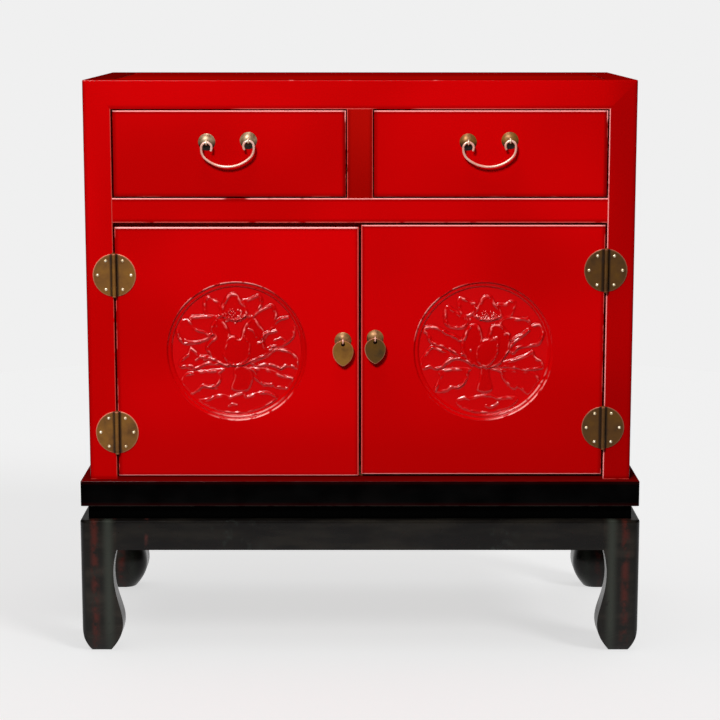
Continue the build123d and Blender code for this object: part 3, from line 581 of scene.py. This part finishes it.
# the left-hand bail mounts take a lighter copy of the patina: painted light
domePatina = {"left": dict(platePatina, light="#B49C7C", middle="#94785A"), "right": platePatina}
# the pale pink of the wire is worn brass with a painted reflection of the red lacquer and painted highlights
wirePatinaAndSheen = {
    "light": "#FFD4C4", "middle": "#F8B8A4", "dark": "#D49480",
    "metallic": 0.35, "roughness": 0.3,
}
nailPatina = {
    "light": "#FFF4DC", "middle": "#F6DEB4", "dark": "#B89468",
    "metallic": 0.5, "roughness": 0.25,
}
polish = {
    "light": (0.42, 0.68), "dark": (0.46, 0.28),  # levels of the clouds between which the patina changes
    "pitSize": 2.5, "pitStrength": 0.2, "pitDepth": 0.2,
    "shaded": (-200, 300), "shadeTint": "#160C00", "shadeAmount": 0.5,  # mm across the cabinet
    # painted shade along the knuckles: where it starts and ends in mm, its tint and its amount
    "barrelFrom": (1.8, 3.4), "barrelTo": (5.2, 9), "barrelShadeTint": "#1C0E06", "barrelShadeAmount": 0.85,
    "shadeUnderDomes": (3, -9), "domeShadeTint": "#140A02",  # mm from the middle of the domes, where the painted shade starts and is full, and its tint
    # painted highlight on the eyes: the depths in mm where it starts and is full, and its tint
    "eyes": (-215.6, -216.6), "eyeHighlightTint": "#FBE3C4",
    "glossSpread": (0.1, -0.06),
}
hingePlate = {
    "radius": 35.5, "rim": 2.0, "barrel": 403.5,
    "bright": (-30, 20), "least": 0.35,  # mm from the centre: the rim brightens upwards, a painted highlight
}
leafRim = {
    "head": (0, -15.72, 17.32),  # centre below the pivot and radius of the round head, in mm
    "flank": (-9.79, -16.12, 27.11),  # the same of the arc that runs down to the tip on the right
    "width": 1.6,
    "across": (9, -9), "amounts": (0.4, 0.75),  # brighter on the left, a painted highlight over the wear
}


def paintPlateRimWearAndSheen(tree, place, colour, patina, centre):
    # the rounded rim of a hinge plate is worn bright, with a painted highlight that makes its upper half brighter
    radius, width = hingePlate["radius"], hingePlate["rim"]
    reach = reachFrom(tree, place, (centre[0], 0, centre[1]), (1, 0, 1))
    inner = ramp(tree, reach, (radius - width) * mm, (radius - width * 0.4) * mm)
    nearEnough = maths(tree, "LESS_THAN", reach, (radius + 1) * mm)
    upper = ramp(tree, onAxis(tree, place, "Z"), *between(centre[1], hingePlate["bright"]), hingePlate["least"], 1.0)
    return blend(tree, times(tree, times(tree, inner, nearEnough), upper), colour, linear(patina["rim"]))


def paintLeafRimWearAndSheen(tree, place, colour, patina, pivot):
    # the thin rim of a hanging plate is worn bright, with a painted highlight that makes it brightest on its left
    spot = vectors(tree, "SUBTRACT", place, Vector((pivot[0], 0, pivot[1])) * mm)
    across, height = onAxis(tree, spot, "X"), onAxis(tree, spot, "Z")
    point = addNode(tree, "ShaderNodeCombineXYZ", {"X": maths(tree, "ABSOLUTE", across), "Z": height}).outputs[0]
    depths = []
    for x, z, radius in (leafRim["head"], leafRim["flank"]):
        reach = reachFrom(tree, point, (x, 0, z))
        depths.append(maths(tree, "SUBTRACT", radius * mm, reach))
    low = maths(tree, "LESS_THAN", height, leafRim["head"][1] * mm)
    depth = choose(tree, low, *depths)
    rim = ramp(tree, depth, leafRim["width"] * 0.5 * mm, leafRim["width"] * mm, 1.0, 0.0)
    rim = times(tree, rim, ramp(tree, across, *between(0, leafRim["across"]), *leafRim["amounts"]))
    return blend(tree, rim, colour, linear(patina["rim"]))


def brass(name, patina, grain, rims=(), shadeUnderDomes=None, shadedRight=False, barrel=None, leafAt=None):
    # cast or bent brass, waxed and handled: brown in the flats, bright where it is touched, with painted highlights on
    # rims and eyes and painted shade on the right, beside the knuckles and under the domes
    material, tree, place = newMaterial(name)
    across, height = onAxis(tree, place, "X"), onAxis(tree, place, "Z")
    clouds = noise(tree, place, grain, 3.0, 0.55)
    colour = blend(tree, ramp(tree, clouds, *polish["light"]), linear(patina["middle"]), linear(patina["light"]))
    colour = blend(tree, ramp(tree, clouds, *polish["dark"]), colour, linear(patina["dark"]))
    for centre in rims:
        colour = paintPlateRimWearAndSheen(tree, place, colour, patina, centre)
    if leafAt:
        colour = paintLeafRimWearAndSheen(tree, place, colour, patina, leafAt)
    if shadedRight:  # painted shade: the brass darkens towards the right of the cabinet
        dark = ramp(tree, across, *between(0, polish["shaded"]), 0.0, polish["shadeAmount"])
        colour = blend(tree, dark, colour, linear(polish["shadeTint"]))
    if barrel:  # painted shade along both sides of the knuckles
        away = awayFrom(tree, maths(tree, "ABSOLUTE", across), barrel * mm)
        start = ramp(tree, away, *between(0, polish["barrelFrom"]))
        end = ramp(tree, away, *between(0, polish["barrelTo"]), 1.0, 0.0)
        dark = times(tree, times(tree, start, end), polish["barrelShadeAmount"])
        colour = blend(tree, dark, colour, linear(polish["barrelShadeTint"]))
    if shadeUnderDomes:  # painted shade under the middle of the domes, and a painted highlight on the eyes in front of them
        below = ramp(tree, height, *between(shadeUnderDomes, polish["shadeUnderDomes"]))
        colour = blend(tree, below, colour, linear(polish["domeShadeTint"]))
        eye = ramp(tree, onAxis(tree, place, "Y"), *between(0, polish["eyes"]))
        colour = blend(tree, eye, colour, linear(polish["eyeHighlightTint"]))
    relief = bump(tree, noise(tree, place, polish["pitSize"], 3.0), polish["pitStrength"], polish["pitDepth"])
    gloss = ramp(tree, clouds, 0.3, 0.7, *(patina["roughness"] + spread for spread in polish["glossSpread"]), "LINEAR")
    finishWith(tree, {
        "Base Color": colour, "Metallic": patina["metallic"], "Roughness": gloss, "Normal": relief,
    })
    return material


hinges = {"left": [(-403.5, 375), (-403.5, 638)], "right": [(403.5, 383), (403.5, 646)]}
pulls = {"left": (-28, 529), "right": (25, 533)}
handleHeight = 856.95
dress("hinge_leaves_case", brass(
    "agedBrassPlates_case", platePatina, 26, hinges["left"] + hinges["right"],
    shadedRight=True, barrel=hingePlate["barrel"],
))
for side in bothSides:
    dress(f"hinge_leaves_door_{side}", brass(
        f"agedBrassPlates_{side}", platePatina, 26, hinges[side], shadedRight=True, barrel=hingePlate["barrel"],
    ))
    dress(f"pull_rosette_{side}", brass(f"agedBrassRosette_{side}", rosettePatina, 9, shadeUnderDomes=pulls[side][1]))
    dress(f"pendant_{side}", brass(
        f"agedBrassPendant_{side}", leafPatina[side], 24, shadedRight=True, leafAt=pulls[side],
    ))
    dress(f"bail_mounts_{side}", brass(f"agedBrassMounts_{side}", domePatina[side], 9, shadeUnderDomes=handleHeight))
    dress(f"bail_{side}", brass(f"wornBrassWireWithSheen_{side}", wirePatinaAndSheen, 30))
    dress(f"pull_eye_{side}", brass(f"wornBrassEyeWithSheen_{side}", wirePatinaAndSheen, 8))
    dress(f"nails_door_{side}", brass(f"wornBrassNails_{side}", nailPatina, 8))
dress("nails_case", brass("wornBrassNails_case", nailPatina, 8))
dress("hinge_pins", brass("wornBrassPins", platePatina, 8))
print("brass: plates, handles and nails")

# bare wood inside
bareElm = {
    "early": "#B98C5C", "late": "#8A5C34", "grain": 7, "roughness": 0.6, "specular": 0.3,
    "squeeze": 0.08, "wanderSize": 60, "wander": 0.02, "rings": (0.35, 0.65), "pores": 0.3, "poreDepth": 0.3,
    "lacquered": (-199, -197),  # mm, how far back the lacquer of the front goes
}


def bareWood(name, wood, axis, lacquered=None):
    # planed elm, left without finish: open brown grain, matt
    material, tree, place = newMaterial(name)
    squeeze = [wood["squeeze"] if letter == axis else 1.0 for letter in "XYZ"]
    stretched = addNode(tree, "ShaderNodeMapping", {"Vector": place, "Scale": squeeze}).outputs[0]
    wander = noise(tree, stretched, wood["wanderSize"], 2.0, output="Color")
    shifted = vectors(tree, "ADD", stretched, vectors(tree, "MULTIPLY", wander, (wood["wander"],) * 3))
    rings = noise(tree, shifted, wood["grain"], 4.0, 0.65)
    tone = ramp(tree, rings, *wood["rings"], kind="LINEAR")
    colour = blend(tree, tone, linear(wood["late"]), linear(wood["early"]))
    specular = wood["specular"]
    if lacquered:  # the edge that shows is lacquered with the case
        face = ramp(tree, onAxis(tree, place, "Y"), *between(0, wood["lacquered"]), 1.0, 0.0, "LINEAR")
        colour = blend(tree, face, colour, linear(lacquered))
        specular = ramp(tree, face, 0.0, 1.0, wood["specular"], 0.0, "LINEAR")
    finishWith(tree, {
        "Base Color": colour, "Roughness": wood["roughness"],
        "Normal": bump(tree, rings, wood["pores"], wood["poreDepth"]), "Specular IOR Level": specular,
    })
    return material


grainAlong = {
    "back_panel": "Z", "dust_board": "X", "shelf": "X", "shelf_cleats": "Y", "drawer_guides": "Y",
    "door_left_battens": "X", "door_right_battens": "X",
    "drawer_left_sides": "Y", "drawer_left_back": "X", "drawer_left_bottom": "X",
    "drawer_right_sides": "Y", "drawer_right_back": "X", "drawer_right_bottom": "X",
}
for nodeName, axis in grainAlong.items():
    dress(nodeName, bareWood("bareElm_" + nodeName, bareElm, axis))
dress("bottom_board", bareWood("bareElm_bottom_board", bareElm, "X", lacquered="#640100"))
print("wood: inside pieces")


# carved lotus fields of the doors
field = {
    "radius": 110.5,  # mm, of the carved ground
    "cell": 0.7,
    "groundY": -204.3,
    "faceY": -210.0,
    "thickness": 0.8,
    # painted light: the sunk ground is painted a lighter red, against the shade it lies in
    "shades": [("Y", -206.5, -204.2, "#D00508")],
    "ringSides": 240,
    "ringSteps": [  # radius and depth behind the door's face, in mm: lip, groove and bead
        (116.9, 0.08), (116.5, -0.06), (116.0, -0.12), (115.5, -0.02), (115.0, 0.45), (114.5, 1.3), (113.9, 2.2),
        (113.2, 2.9), (112.7, 3.2), (112.2, 3.3), (111.7, 3.25), (111.1, 3.1), (110.4, 2.95), (109.7, 2.9),
        (109.0, 3.05), (108.2, 3.6), (107.4, 4.3), (106.7, 5.1), (106.1, 5.7), (105.8, 5.9), (105.8, 6.4), (116.9, 6.4),
    ],
    "unevenSize": 11,
    "unevenHeight": 0.35,
    "smoothAngle": 50,  # degrees
}
lotusLeft = {
    "centre": (-203.9, 511),
    # painted highlight arcs on the ring: middle and half width in degrees, radius in mm
    "highlightArcs": [(-12, 46, 115.5), (165, 40, 115.5), (168, 34, 110)],
    "petals": [  # outline, heights of its foot and its rim, swelling inside; in mm, from the back to the front
        ([(-66, -84), (-49, -80), (-38, -75), (-24, -73), (-12, -76), (-4, -73), (11, -68), (16, -75), (26, -72),
          (46, -68), (60, -72), (66, -80), (50, -92), (20, -104), (-10, -106), (-40, -100)], 0.7, 1.0, -0.2),
        ([(-21, -30), (-28, -37), (-27, -46), (-30, -55), (-37, -61), (-48, -62), (-58, -59), (-65, -66),
          (-79, -74), (-88, -64), (-92, -50), (-84, -38), (-64, -34), (-44, -32)], 0.8, 1.1, -0.3),
        ([(18, -29), (28, -34), (30, -46), (44, -57), (56, -57), (66, -62), (81, -64), (89, -69), (95, -56),
          (93, -44), (76, -40), (58, -32), (38, -28)], 0.8, 1.1, -0.3),
        ([(-2, -28), (18, -28), (25, -42), (24, -52), (16, -66), (-8, -64), (-4, -46)], 1.2, 0.3, 0.3),
        ([(-52, 62), (-54, 76), (-52, 87), (-45, 91), (-40, 87), (-31, 84), (-26, 78), (-24, 62), (-34, 52),
          (-46, 54)], 0.9, 1.2, -0.5),
        ([(12, 64), (10, 84), (19, 87), (28, 91), (37, 94), (42, 88), (43, 80), (36, 66), (26, 56)], 0.9, 1.2, -0.5),
        ([(-26, 60), (-26, 68), (-21, 81), (-15, 92), (-7, 97), (1, 94), (9, 82), (16, 70), (17, 58),
          (-4, 50)], 1.5, 1.2, -0.6),
        ([(22, 52), (32, 65), (43, 71), (54, 77), (61, 77), (65, 67), (67, 58), (65, 50), (66, 40), (52, 28),
          (34, 30), (24, 38)], 1.3, 1.2, -0.6),
        ([(-46, 60), (-60, 59), (-75, 58), (-78, 50), (-73, 40), (-66, 30), (-55, 26), (-40, 26), (-28, 40),
          (-30, 56)], 1.3, 1.2, -0.6),
        ([(-78, 52), (-95, 49), (-101, 40), (-99, 30), (-97, 23), (-92, 16), (-83, 11), (-61, 14), (-44, 22),
          (-50, 32), (-66, 38)], 1.0, 1.3, -0.4),
        ([(66, 52), (80, 57), (96, 58), (103, 46), (97, 36), (96, 28), (92, 20), (80, 10), (61, 6), (46, 2),
          (40, 14), (50, 30)], 1.0, 1.3, -0.4),
        ([(-20, -10), (-36, -12), (-48, -8), (-60, -6), (-75, 6), (-80, -3), (-89, -11), (-95, -20), (-92, -28),
          (-76, -27), (-70, -31), (-62, -28), (-48, -22), (-30, -22)], 1.2, 1.3, -0.4),
        ([(22, -18), (38, -12), (45, -10), (56, 0), (66, 4), (84, 2), (98, -8), (103, -22), (100, -30), (92, -27),
          (82, -26), (73, -31), (64, -27), (50, -24), (34, -26)], 1.2, 1.3, -0.4),
        ([(-36, 24), (-42, 38), (-36, 50), (-26, 52), (-16, 40), (-10, 16), (-8, -8), (-14, -25), (-31, -18),
          (-44, -6), (-50, 6), (-44, 18)], 2.0, 0.8, 0.3),
        ([(20, 50), (30, 54), (38, 44), (46, 30), (44, 18), (50, 4), (59, 4), (54, -2), (45, -10), (30, -14),
          (14, -22), (4, -24), (2, -4), (8, 20), (12, 38)], 2.0, 0.9, 0.3),
        ([(-14, 22), (-20, 8), (-23, -2), (-20, -12), (-12, -22), (-2, -25), (8, -23), (18, -14), (22, 0), (22, 14),
          (14, 25), (4, 19), (-4, 24)], 2.6, 0.8, 0.5),
    ],
    "ridges": [  # line, half width, rise
        ([(42, 23), (49, 30), (58, 32), (65, 34)], 2.2, 1.7), ([(35, 14), (44, 17), (42, 23)], 1.4, 1.2),
        ([(-68, -15), (-61, -10), (-52, -10)], 1.4, 1.2), ([(-54, -14), (-45, -12), (-37, -14)], 1.8, 1.4),
        ([(20, 37), (28, 34), (33, 24)], 1.3, 1.0), ([(-85, 18), (-76, 15), (-62, 15)], 1.8, 1.2),
        ([(-14, -92), (-8, -89), (-1, -90)], 1.6, 1.0), ([(-64, -66), (-58, -60), (-44, -60), (-34, -62)], 1.8, 1.2),
        ([(44, -57), (50, -56), (57, -58)], 2.0, 1.2), ([(-31, -18), (-22, -22), (-14, -25), (-4, -23)], 1.5, 1.2),
        ([(7, -23), (16, -21), (25, -16), (38, -11), (45, -10)], 1.6, 1.3),
        ([(-82, -28), (-72, -31), (-64, -29)], 1.8, 1.0),
        ([(-30, 58), (-34, 50), (-33, 42)], 1.3, 0.8), ([(62, 18), (74, 22), (80, 19)], 1.3, 0.8),
    ],
    "stamens": {"centre": (-4, 58), "reach": (19, 12), "count": 60},
    "knobs": [(-30, 58, 3.2), (21, 57, 3.6), (-3, 23, 2.2), (6, 19, 1.8), (13, 25, 2.0), (-40, 27, 1.6), (-49, 8, 1.8)],
}
lotusRight = {
    "centre": (203.9, 511),
    "highlightArcs": [(-48, 34, 115.5), (142, 36, 115.5), (138, 34, 110)],
    "petals": [
        ([(-44, -84), (-31, -76), (-22, -78), (-5, -74), (13, -73), (26, -78), (44, -76), (58, -80), (46, -94),
          (20, -104), (-10, -104), (-34, -96)], 0.7, 0.8, -0.1),
        ([(-20, -30), (-24, -34), (-25, -42), (-31, -56), (-41, -63), (-51, -62), (-60, -68), (-72, -69),
          (-80, -66), (-76, -54), (-71, -42), (-72, -34), (-60, -30), (-40, -28)], 0.8, 1.2, -0.3),
        ([(14, -30), (28, -35), (32, -44), (39, -54), (51, -64), (59, -61), (71, -70), (79, -73), (92, -60),
          (94, -46), (84, -36), (62, -32), (38, -30)], 0.8, 0.8, -0.1),
        ([(-2, -28), (8, -28), (10, -44), (14, -66), (-8, -66), (-4, -46)], 1.2, 0.2, 0.3),
        ([(-42, 74), (-42, 87), (-36, 90), (-27, 86), (-21, 82), (-14, 80), (-14, 66), (-24, 58),
          (-38, 62)], 0.9, 1.2, -0.5),
        ([(22, 78), (37, 80), (44, 84), (51, 83), (52, 74), (46, 60), (34, 54), (24, 62)], 0.9, 1.0, -0.4),
        ([(-64, 52), (-65, 64), (-63, 72), (-58, 75), (-50, 70), (-42, 65), (-37, 60), (-30, 59), (-26, 48),
          (-34, 38), (-50, 38), (-62, 44)], 1.2, 1.2, -0.5),
        ([(-15, 58), (-14, 67), (-8, 77), (-4, 87), (2, 92), (11, 92), (17, 82), (23, 75), (28, 66), (28, 56),
          (6, 50)], 1.5, 1.2, -0.6),
        ([(28, 52), (40, 58), (54, 55), (73, 54), (78, 46), (75, 35), (66, 28), (56, 23), (46, 18), (34, 26),
          (26, 38)], 1.2, 1.1, -0.5),
        ([(-18, -24), (-25, -18), (-37, -13), (-50, -14), (-58, -19), (-68, -29), (-79, -31), (-86, -28),
          (-102, -30), (-105, -18), (-98, -6), (-86, 8), (-76, 6), (-62, 0), (-50, -6), (-34, -10),
            (-22, -16)], 1.1, 1.3, -0.4),
        ([(-98, 40), (-98, 32), (-93, 28), (-90, 18), (-84, 12), (-75, 9), (-62, 5), (-50, -2), (-36, -8), (-26, 0),
          (-30, 16), (-42, 22), (-48, 26), (-58, 29), (-66, 35), (-80, 42)], 1.3, 1.3, -0.4),
        ([(20, -26), (28, -20), (40, -16), (54, -12), (70, -6), (82, 0), (85, -9), (96, -16), (100, -26), (96, -30),
          (80, -32), (70, -34), (56, -30), (40, -28)], 1.1, 1.0, -0.3),
        ([(48, -4), (56, 3), (66, 6), (87, 9), (94, 13), (99, 24), (100, 36), (92, 46), (78, 42), (66, 28),
          (52, 18), (42, 6)], 1.3, 1.3, -0.4),
        ([(-27, 36), (-20, 44), (-8, 42), (-2, 20), (-2, -4), (0, -27), (-14, -24), (-26, -14), (-34, -2),
          (-36, 14), (-32, 24)], 2.0, 0.8, 0.3),
        ([(14, 42), (28, 44), (38, 34), (43, 28), (44, 12), (42, 0), (34, -11), (28, -20), (19, -26), (4, -28),
          (2, -8), (6, 14), (10, 30)], 2.0, 0.9, 0.3),
        ([(-3, 12), (-1, 18), (8, 20), (16, 22), (23, 25), (26, 14), (24, -4), (16, -18), (6, -27), (-6, -22),
          (-12, -8), (-10, 6)], 2.6, 0.7, 0.5),
    ],
    "ridges": [
        ([(-65, 34), (-58, 29), (-48, 26), (-42, 22)], 2.0, 1.5), ([(-27, 34), (-30, 27), (-31, 20)], 1.6, 1.2),
        ([(49, 17), (56, 24), (66, 28), (74, 35)], 2.2, 1.7), ([(50, -4), (56, 3)], 2.2, 1.0),
        ([(-58, -20), (-50, -14), (-38, -13), (-25, -18), (-18, -24)], 2.0, 1.4),
        ([(-53, 3), (-46, -3), (-38, -9)], 2.2, 0.8),
        ([(6, -92), (11, -94), (17, -93), (25, -87)], 1.8, 1.3), ([(-84, -70), (-78, -66), (-76, -56)], 1.4, 1.2),
        ([(54, 55), (64, 54), (73, 55)], 1.3, 0.9), ([(28, -20), (34, -11), (42, 1)], 1.5, 1.0),
        ([(35, 28), (39, 30), (42, 28)], 1.6, 1.0), ([(81, 0), (85, -9), (95, -16)], 1.3, 0.8),
    ],
    "stamens": {"centre": (6, 58), "reach": (17, 8), "count": 46},
    "knobs": [(-22, 53, 2.4), (5, -28, 2.2), (23, 10, 1.8), (-21, 2, 2.2), (17, 22, 1.8), (27, 54, 2.0), (18, 44, 1.6)],
}
cut = {
    "waves": 0.12,  # mm, height of the tool marks in the ground
    "rimAt": 2.1,  # mm inside a petal's outline
    "rimWidth": 1.8,
    "swellOver": 6,
    "edgeOutside": 1.9,
    "edgeWidth": 2.8,
    "stamenHeight": 1.5,
    "stamenSize": 1.1,
    "knobHeight": 1.0,
    "fadeRadius": 106,
    "fadeWidth": 3,
    "lowest": -0.2,
    "highest": 4.9,
    "crestStep": 1.2,  # mm to the neighbours that a crest is compared with
    "hollowStep": 2.6,
}


def softLine(points, closed, parts=7):
    # a smooth line through given points
    points = np.array(points, float)
    count = len(points)
    line = []
    for i in range(count if closed else count - 1):
        near = [i + k for k in (-1, 0, 1, 2)]
        near = [k % count if closed else min(max(k, 0), count - 1) for k in near]
        a, b, c, d = points[near]
        for t in np.linspace(0, 1, parts, endpoint=False):
            square, cube = (2 * a - 5 * b + 4 * c - d) * t ** 2, (3 * b - a - 3 * c + d) * t ** 3
            line.append(0.5 * (2 * b + (c - a) * t + square + cube))
    if not closed:
        line.append(points[-1])
    return np.array(line)


def reachOf(x, z, line, closed):
    # distance of every point to the line, and whether it lies inside
    nearest = np.full(x.shape, 1e9)
    inside = np.zeros(x.shape, bool)
    ends = np.roll(line, -1, axis=0) if closed else line[1:]
    for (ax, az), (bx, bz) in zip(line, ends):
        dx, dz = bx - ax, bz - az
        t = np.clip(((x - ax) * dx + (z - az) * dz) / (dx * dx + dz * dz + 1e-9), 0, 1)
        nearest = np.minimum(nearest, np.hypot(x - ax - t * dx, z - az - t * dz))
        if abs(dz) > 1e-9:
            inside ^= ((az > z) != (bz > z)) & (x < ax + (z - az) * dx / dz)
    return nearest, inside


def carvePetal(height, x, z, outline, foot, rim, swell):
    # one petal with a soft edge and an uneven, raised rim, laid over what is behind it
    line = softLine(outline, True)
    near = (
        (x > line[:, 0].min() - 4) & (x < line[:, 0].max() + 4)
        & (z > line[:, 1].min() - 4) & (z < line[:, 1].max() + 4)
    )
    reach, inside = reachOf(x[near], z[near], line, True)
    depth = np.where(inside, reach, -reach)
    wobble = np.sin(x[near] / 4.6 + 1.7 * np.sin(z[near] / 6.0)) * np.cos(z[near] / 4.2 - x[near] / 8.0)
    wobble = np.clip(0.7 + 1.0 * wobble, 0.0, 1.6)
    body = foot + rim * wobble * np.exp(-((depth - cut["rimAt"]) / cut["rimWidth"]) ** 2)
    body = body + swell * (1 - np.exp(-np.maximum(depth, 0) / cut["swellOver"]))
    cover = np.clip((depth + cut["edgeOutside"]) / cut["edgeWidth"], 0, 1)
    cover = cover * cover * (3 - 2 * cover)
    height[near] += (body - height[near]) * cover


def knob(x, z, cx, cz, rise, size):
    return rise * np.exp(-((x - cx) ** 2 + (z - cz) ** 2) / size ** 2)


def carve(lotus, x, z):
    # heights of the carving above its ground, in mm
    dice = np.random.default_rng(7)
    height = cut["waves"] * np.sin(x / 9.0 + 2 * np.sin(z / 13.0)) * np.cos(z / 8.0)
    for petal in lotus["petals"]:
        carvePetal(height, x, z, *petal)
    for points, half, rise in lotus["ridges"]:
        reach, _ = reachOf(x, z, softLine(points, False), False)
        height += rise * np.exp(-(reach / half) ** 2)
    stamens = lotus["stamens"]
    for _ in range(stamens["count"]):
        turn, out = dice.uniform(0, 2 * math.pi), math.sqrt(dice.uniform(0, 1))
        cx = stamens["centre"][0] + stamens["reach"][0] * out * math.cos(turn)
        cz = stamens["centre"][1] + stamens["reach"][1] * out * math.sin(turn)
        height += knob(x, z, cx, cz, cut["stamenHeight"], cut["stamenSize"])
    for cx, cz, size in lotus["knobs"]:
        height += knob(x, z, cx, cz, cut["knobHeight"], size * 0.8)
    edge = np.clip((cut["fadeRadius"] - np.hypot(x, z)) / cut["fadeWidth"], 0, 1)
    return np.clip(height * edge, cut["lowest"], cut["highest"])


def pointsOf(mesh, lotus):
    # every point in metres, and its place across the field in mm
    places = np.empty(len(mesh.vertices) * 3)
    mesh.vertices.foreach_get("co", places)
    places = places.reshape(-1, 3)
    cx, cz = lotus["centre"]
    return places, places[:, 0] / mm - cx, places[:, 2] / mm - cz


def keepOnPoints(mesh, name, values):
    mesh.attributes.new(name, "FLOAT", "POINT").data.foreach_set("value", values)


def closeUp(finish):
    # joins the open edges, and turns every face outwards
    bpy.ops.mesh.select_all(action="DESELECT")
    bpy.ops.mesh.select_non_manifold()
    finish()
    bpy.ops.mesh.select_all(action="SELECT")
    bpy.ops.mesh.normals_make_consistent(inside=False)
    bpy.ops.object.mode_set(mode="OBJECT")


def addBack():
    bpy.ops.mesh.extrude_edges_move(TRANSFORM_OT_translate={"value": (0, field["thickness"] * mm, 0)})
    bpy.ops.mesh.edge_face_add()


def carvedField(side, lotus):
    # a fine sheet, cut round, its points moved out as a carver leaves the wood
    cx, cz = lotus["centre"]
    count = int(2 * field["radius"] / field["cell"])
    bpy.ops.object.select_all(action="DESELECT")
    bpy.ops.mesh.primitive_grid_add(
        x_subdivisions=count, y_subdivisions=count, size=2 * field["radius"] * mm,
        location=(cx * mm, field["groundY"] * mm, cz * mm), rotation=(math.pi / 2, 0, 0),
    )
    piece = bpy.context.object
    piece.name = f"lotus_{side}"
    bpy.ops.object.transform_apply(location=True, rotation=True, scale=True)
    mesh = piece.data
    _, x, z = pointsOf(mesh, lotus)
    mesh.vertices.foreach_set("select", np.hypot(x, z) > field["radius"])
    mesh.edges.foreach_set("select", np.zeros(len(mesh.edges), bool))
    mesh.polygons.foreach_set("select", np.zeros(len(mesh.polygons), bool))
    bpy.ops.object.mode_set(mode="EDIT")
    bpy.ops.mesh.select_mode(type="VERT")
    bpy.ops.mesh.delete(type="VERT")
    bpy.ops.object.mode_set(mode="OBJECT")
    places, x, z = pointsOf(mesh, lotus)
    height = carve(lotus, x, z)
    step = cut["crestStep"]
    above, below = carve(lotus, x, z + step), carve(lotus, x, z - step)
    around = (carve(lotus, x + step, z) + carve(lotus, x - step, z) + above + below) / 4
    # painted highlight with wear: crests that stand above their neighbours, most where they face up
    crestSheen = np.clip((height - around - 0.03) / 0.22, 0, 1) * np.clip(0.2 + 1.1 * (height - above), 0, 1)
    step = cut["hollowStep"]
    around = sum(carve(lotus, x + dx, z + dz) for dx, dz in ((step, 0), (-step, 0), (0, step), (0, -step))) / 4
    places[:, 1] -= height * mm
    mesh.vertices.foreach_set("co", places.ravel())
    # the crests keep their painted highlight, the hollows their painted shade
    keepOnPoints(mesh, "crestSheen", crestSheen)
    keepOnPoints(mesh, "hollow", np.clip((around - height - 0.06) / 0.5, 0, 1))
    bpy.ops.object.mode_set(mode="EDIT")
    closeUp(addBack)
    bpy.ops.object.shade_smooth()
    return piece


def fieldRing(side, lotus):
    # the lip round the sunk field and the wall below it, drawn inwards step by step
    cx, cz = lotus["centre"]
    steps = field["ringSteps"]
    bpy.ops.object.select_all(action="DESELECT")
    bpy.ops.mesh.primitive_circle_add(
        vertices=field["ringSides"], radius=steps[0][0] * mm,
        location=(cx * mm, (field["faceY"] + steps[0][1]) * mm, cz * mm), rotation=(math.pi / 2, 0, 0),
    )
    piece = bpy.context.object
    piece.name = f"fieldRing_{side}"
    bpy.ops.object.transform_apply(location=True, rotation=True, scale=True)
    bpy.ops.object.mode_set(mode="EDIT")
    bpy.ops.mesh.select_mode(type="EDGE")
    bpy.ops.mesh.select_all(action="SELECT")
    for (radius, depth), (nextRadius, nextDepth) in zip(steps, steps[1:]):
        bpy.ops.mesh.extrude_edges_move(TRANSFORM_OT_translate={"value": (0, (nextDepth - depth) * mm, 0)})
        k = nextRadius / radius
        bpy.ops.transform.resize(value=(k, 1, k), center_override=(cx * mm, field["faceY"] * mm, cz * mm))
    closeUp(bpy.ops.mesh.bridge_edge_loops)
    uneven = bpy.data.textures.new("unevenCut", "CLOUDS")
    uneven.noise_scale = field["unevenSize"] * mm
    wave = piece.modifiers.new("unevenCut", "DISPLACE")
    wave.texture = uneven
    wave.texture_coords = "GLOBAL"
    wave.strength = field["unevenHeight"] * mm
    wave.mid_level = 0.5
    bpy.ops.object.modifier_apply(modifier="unevenCut")
    _, x, z = pointsOf(piece.data, lotus)
    reach, turn = np.hypot(x, z), np.degrees(np.arctan2(x, z))
    crestSheen = np.zeros(len(x))
    for middle, half, radius in lotus["highlightArcs"]:  # painted highlights on the rings: clockwise from the top, in degrees
        away = np.abs((turn - middle + 180) % 360 - 180)
        crestSheen = np.maximum(crestSheen, np.clip(2 - 2 * away / half, 0, 1) * np.clip(1.6 - np.abs(reach - radius), 0, 1))
    keepOnPoints(piece.data, "crestSheen", crestSheen)
    bpy.ops.object.shade_smooth_by_angle(angle=math.radians(field["smoothAngle"]))
    return piece


for side, lotus in (("left", lotusLeft), ("right", lotusRight)):
    carving = carvedField(side, lotus)
    ring = fieldRing(side, lotus)
    for piece, name, coat, shades in (
        (carving, "redLacquerCarving", carvedCoat, field["shades"]), (ring, "redLacquerRing", ringCoat, []),
    ):
        piece.data.materials.append(lacquer(f"{name}_{side}", coat, shades=shades, shadeAndSheenOnRelief=True))
        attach(piece, f"door_{side}")
    print("carving:", side, len(carving.data.polygons), "faces")

low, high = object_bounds()
print("done")
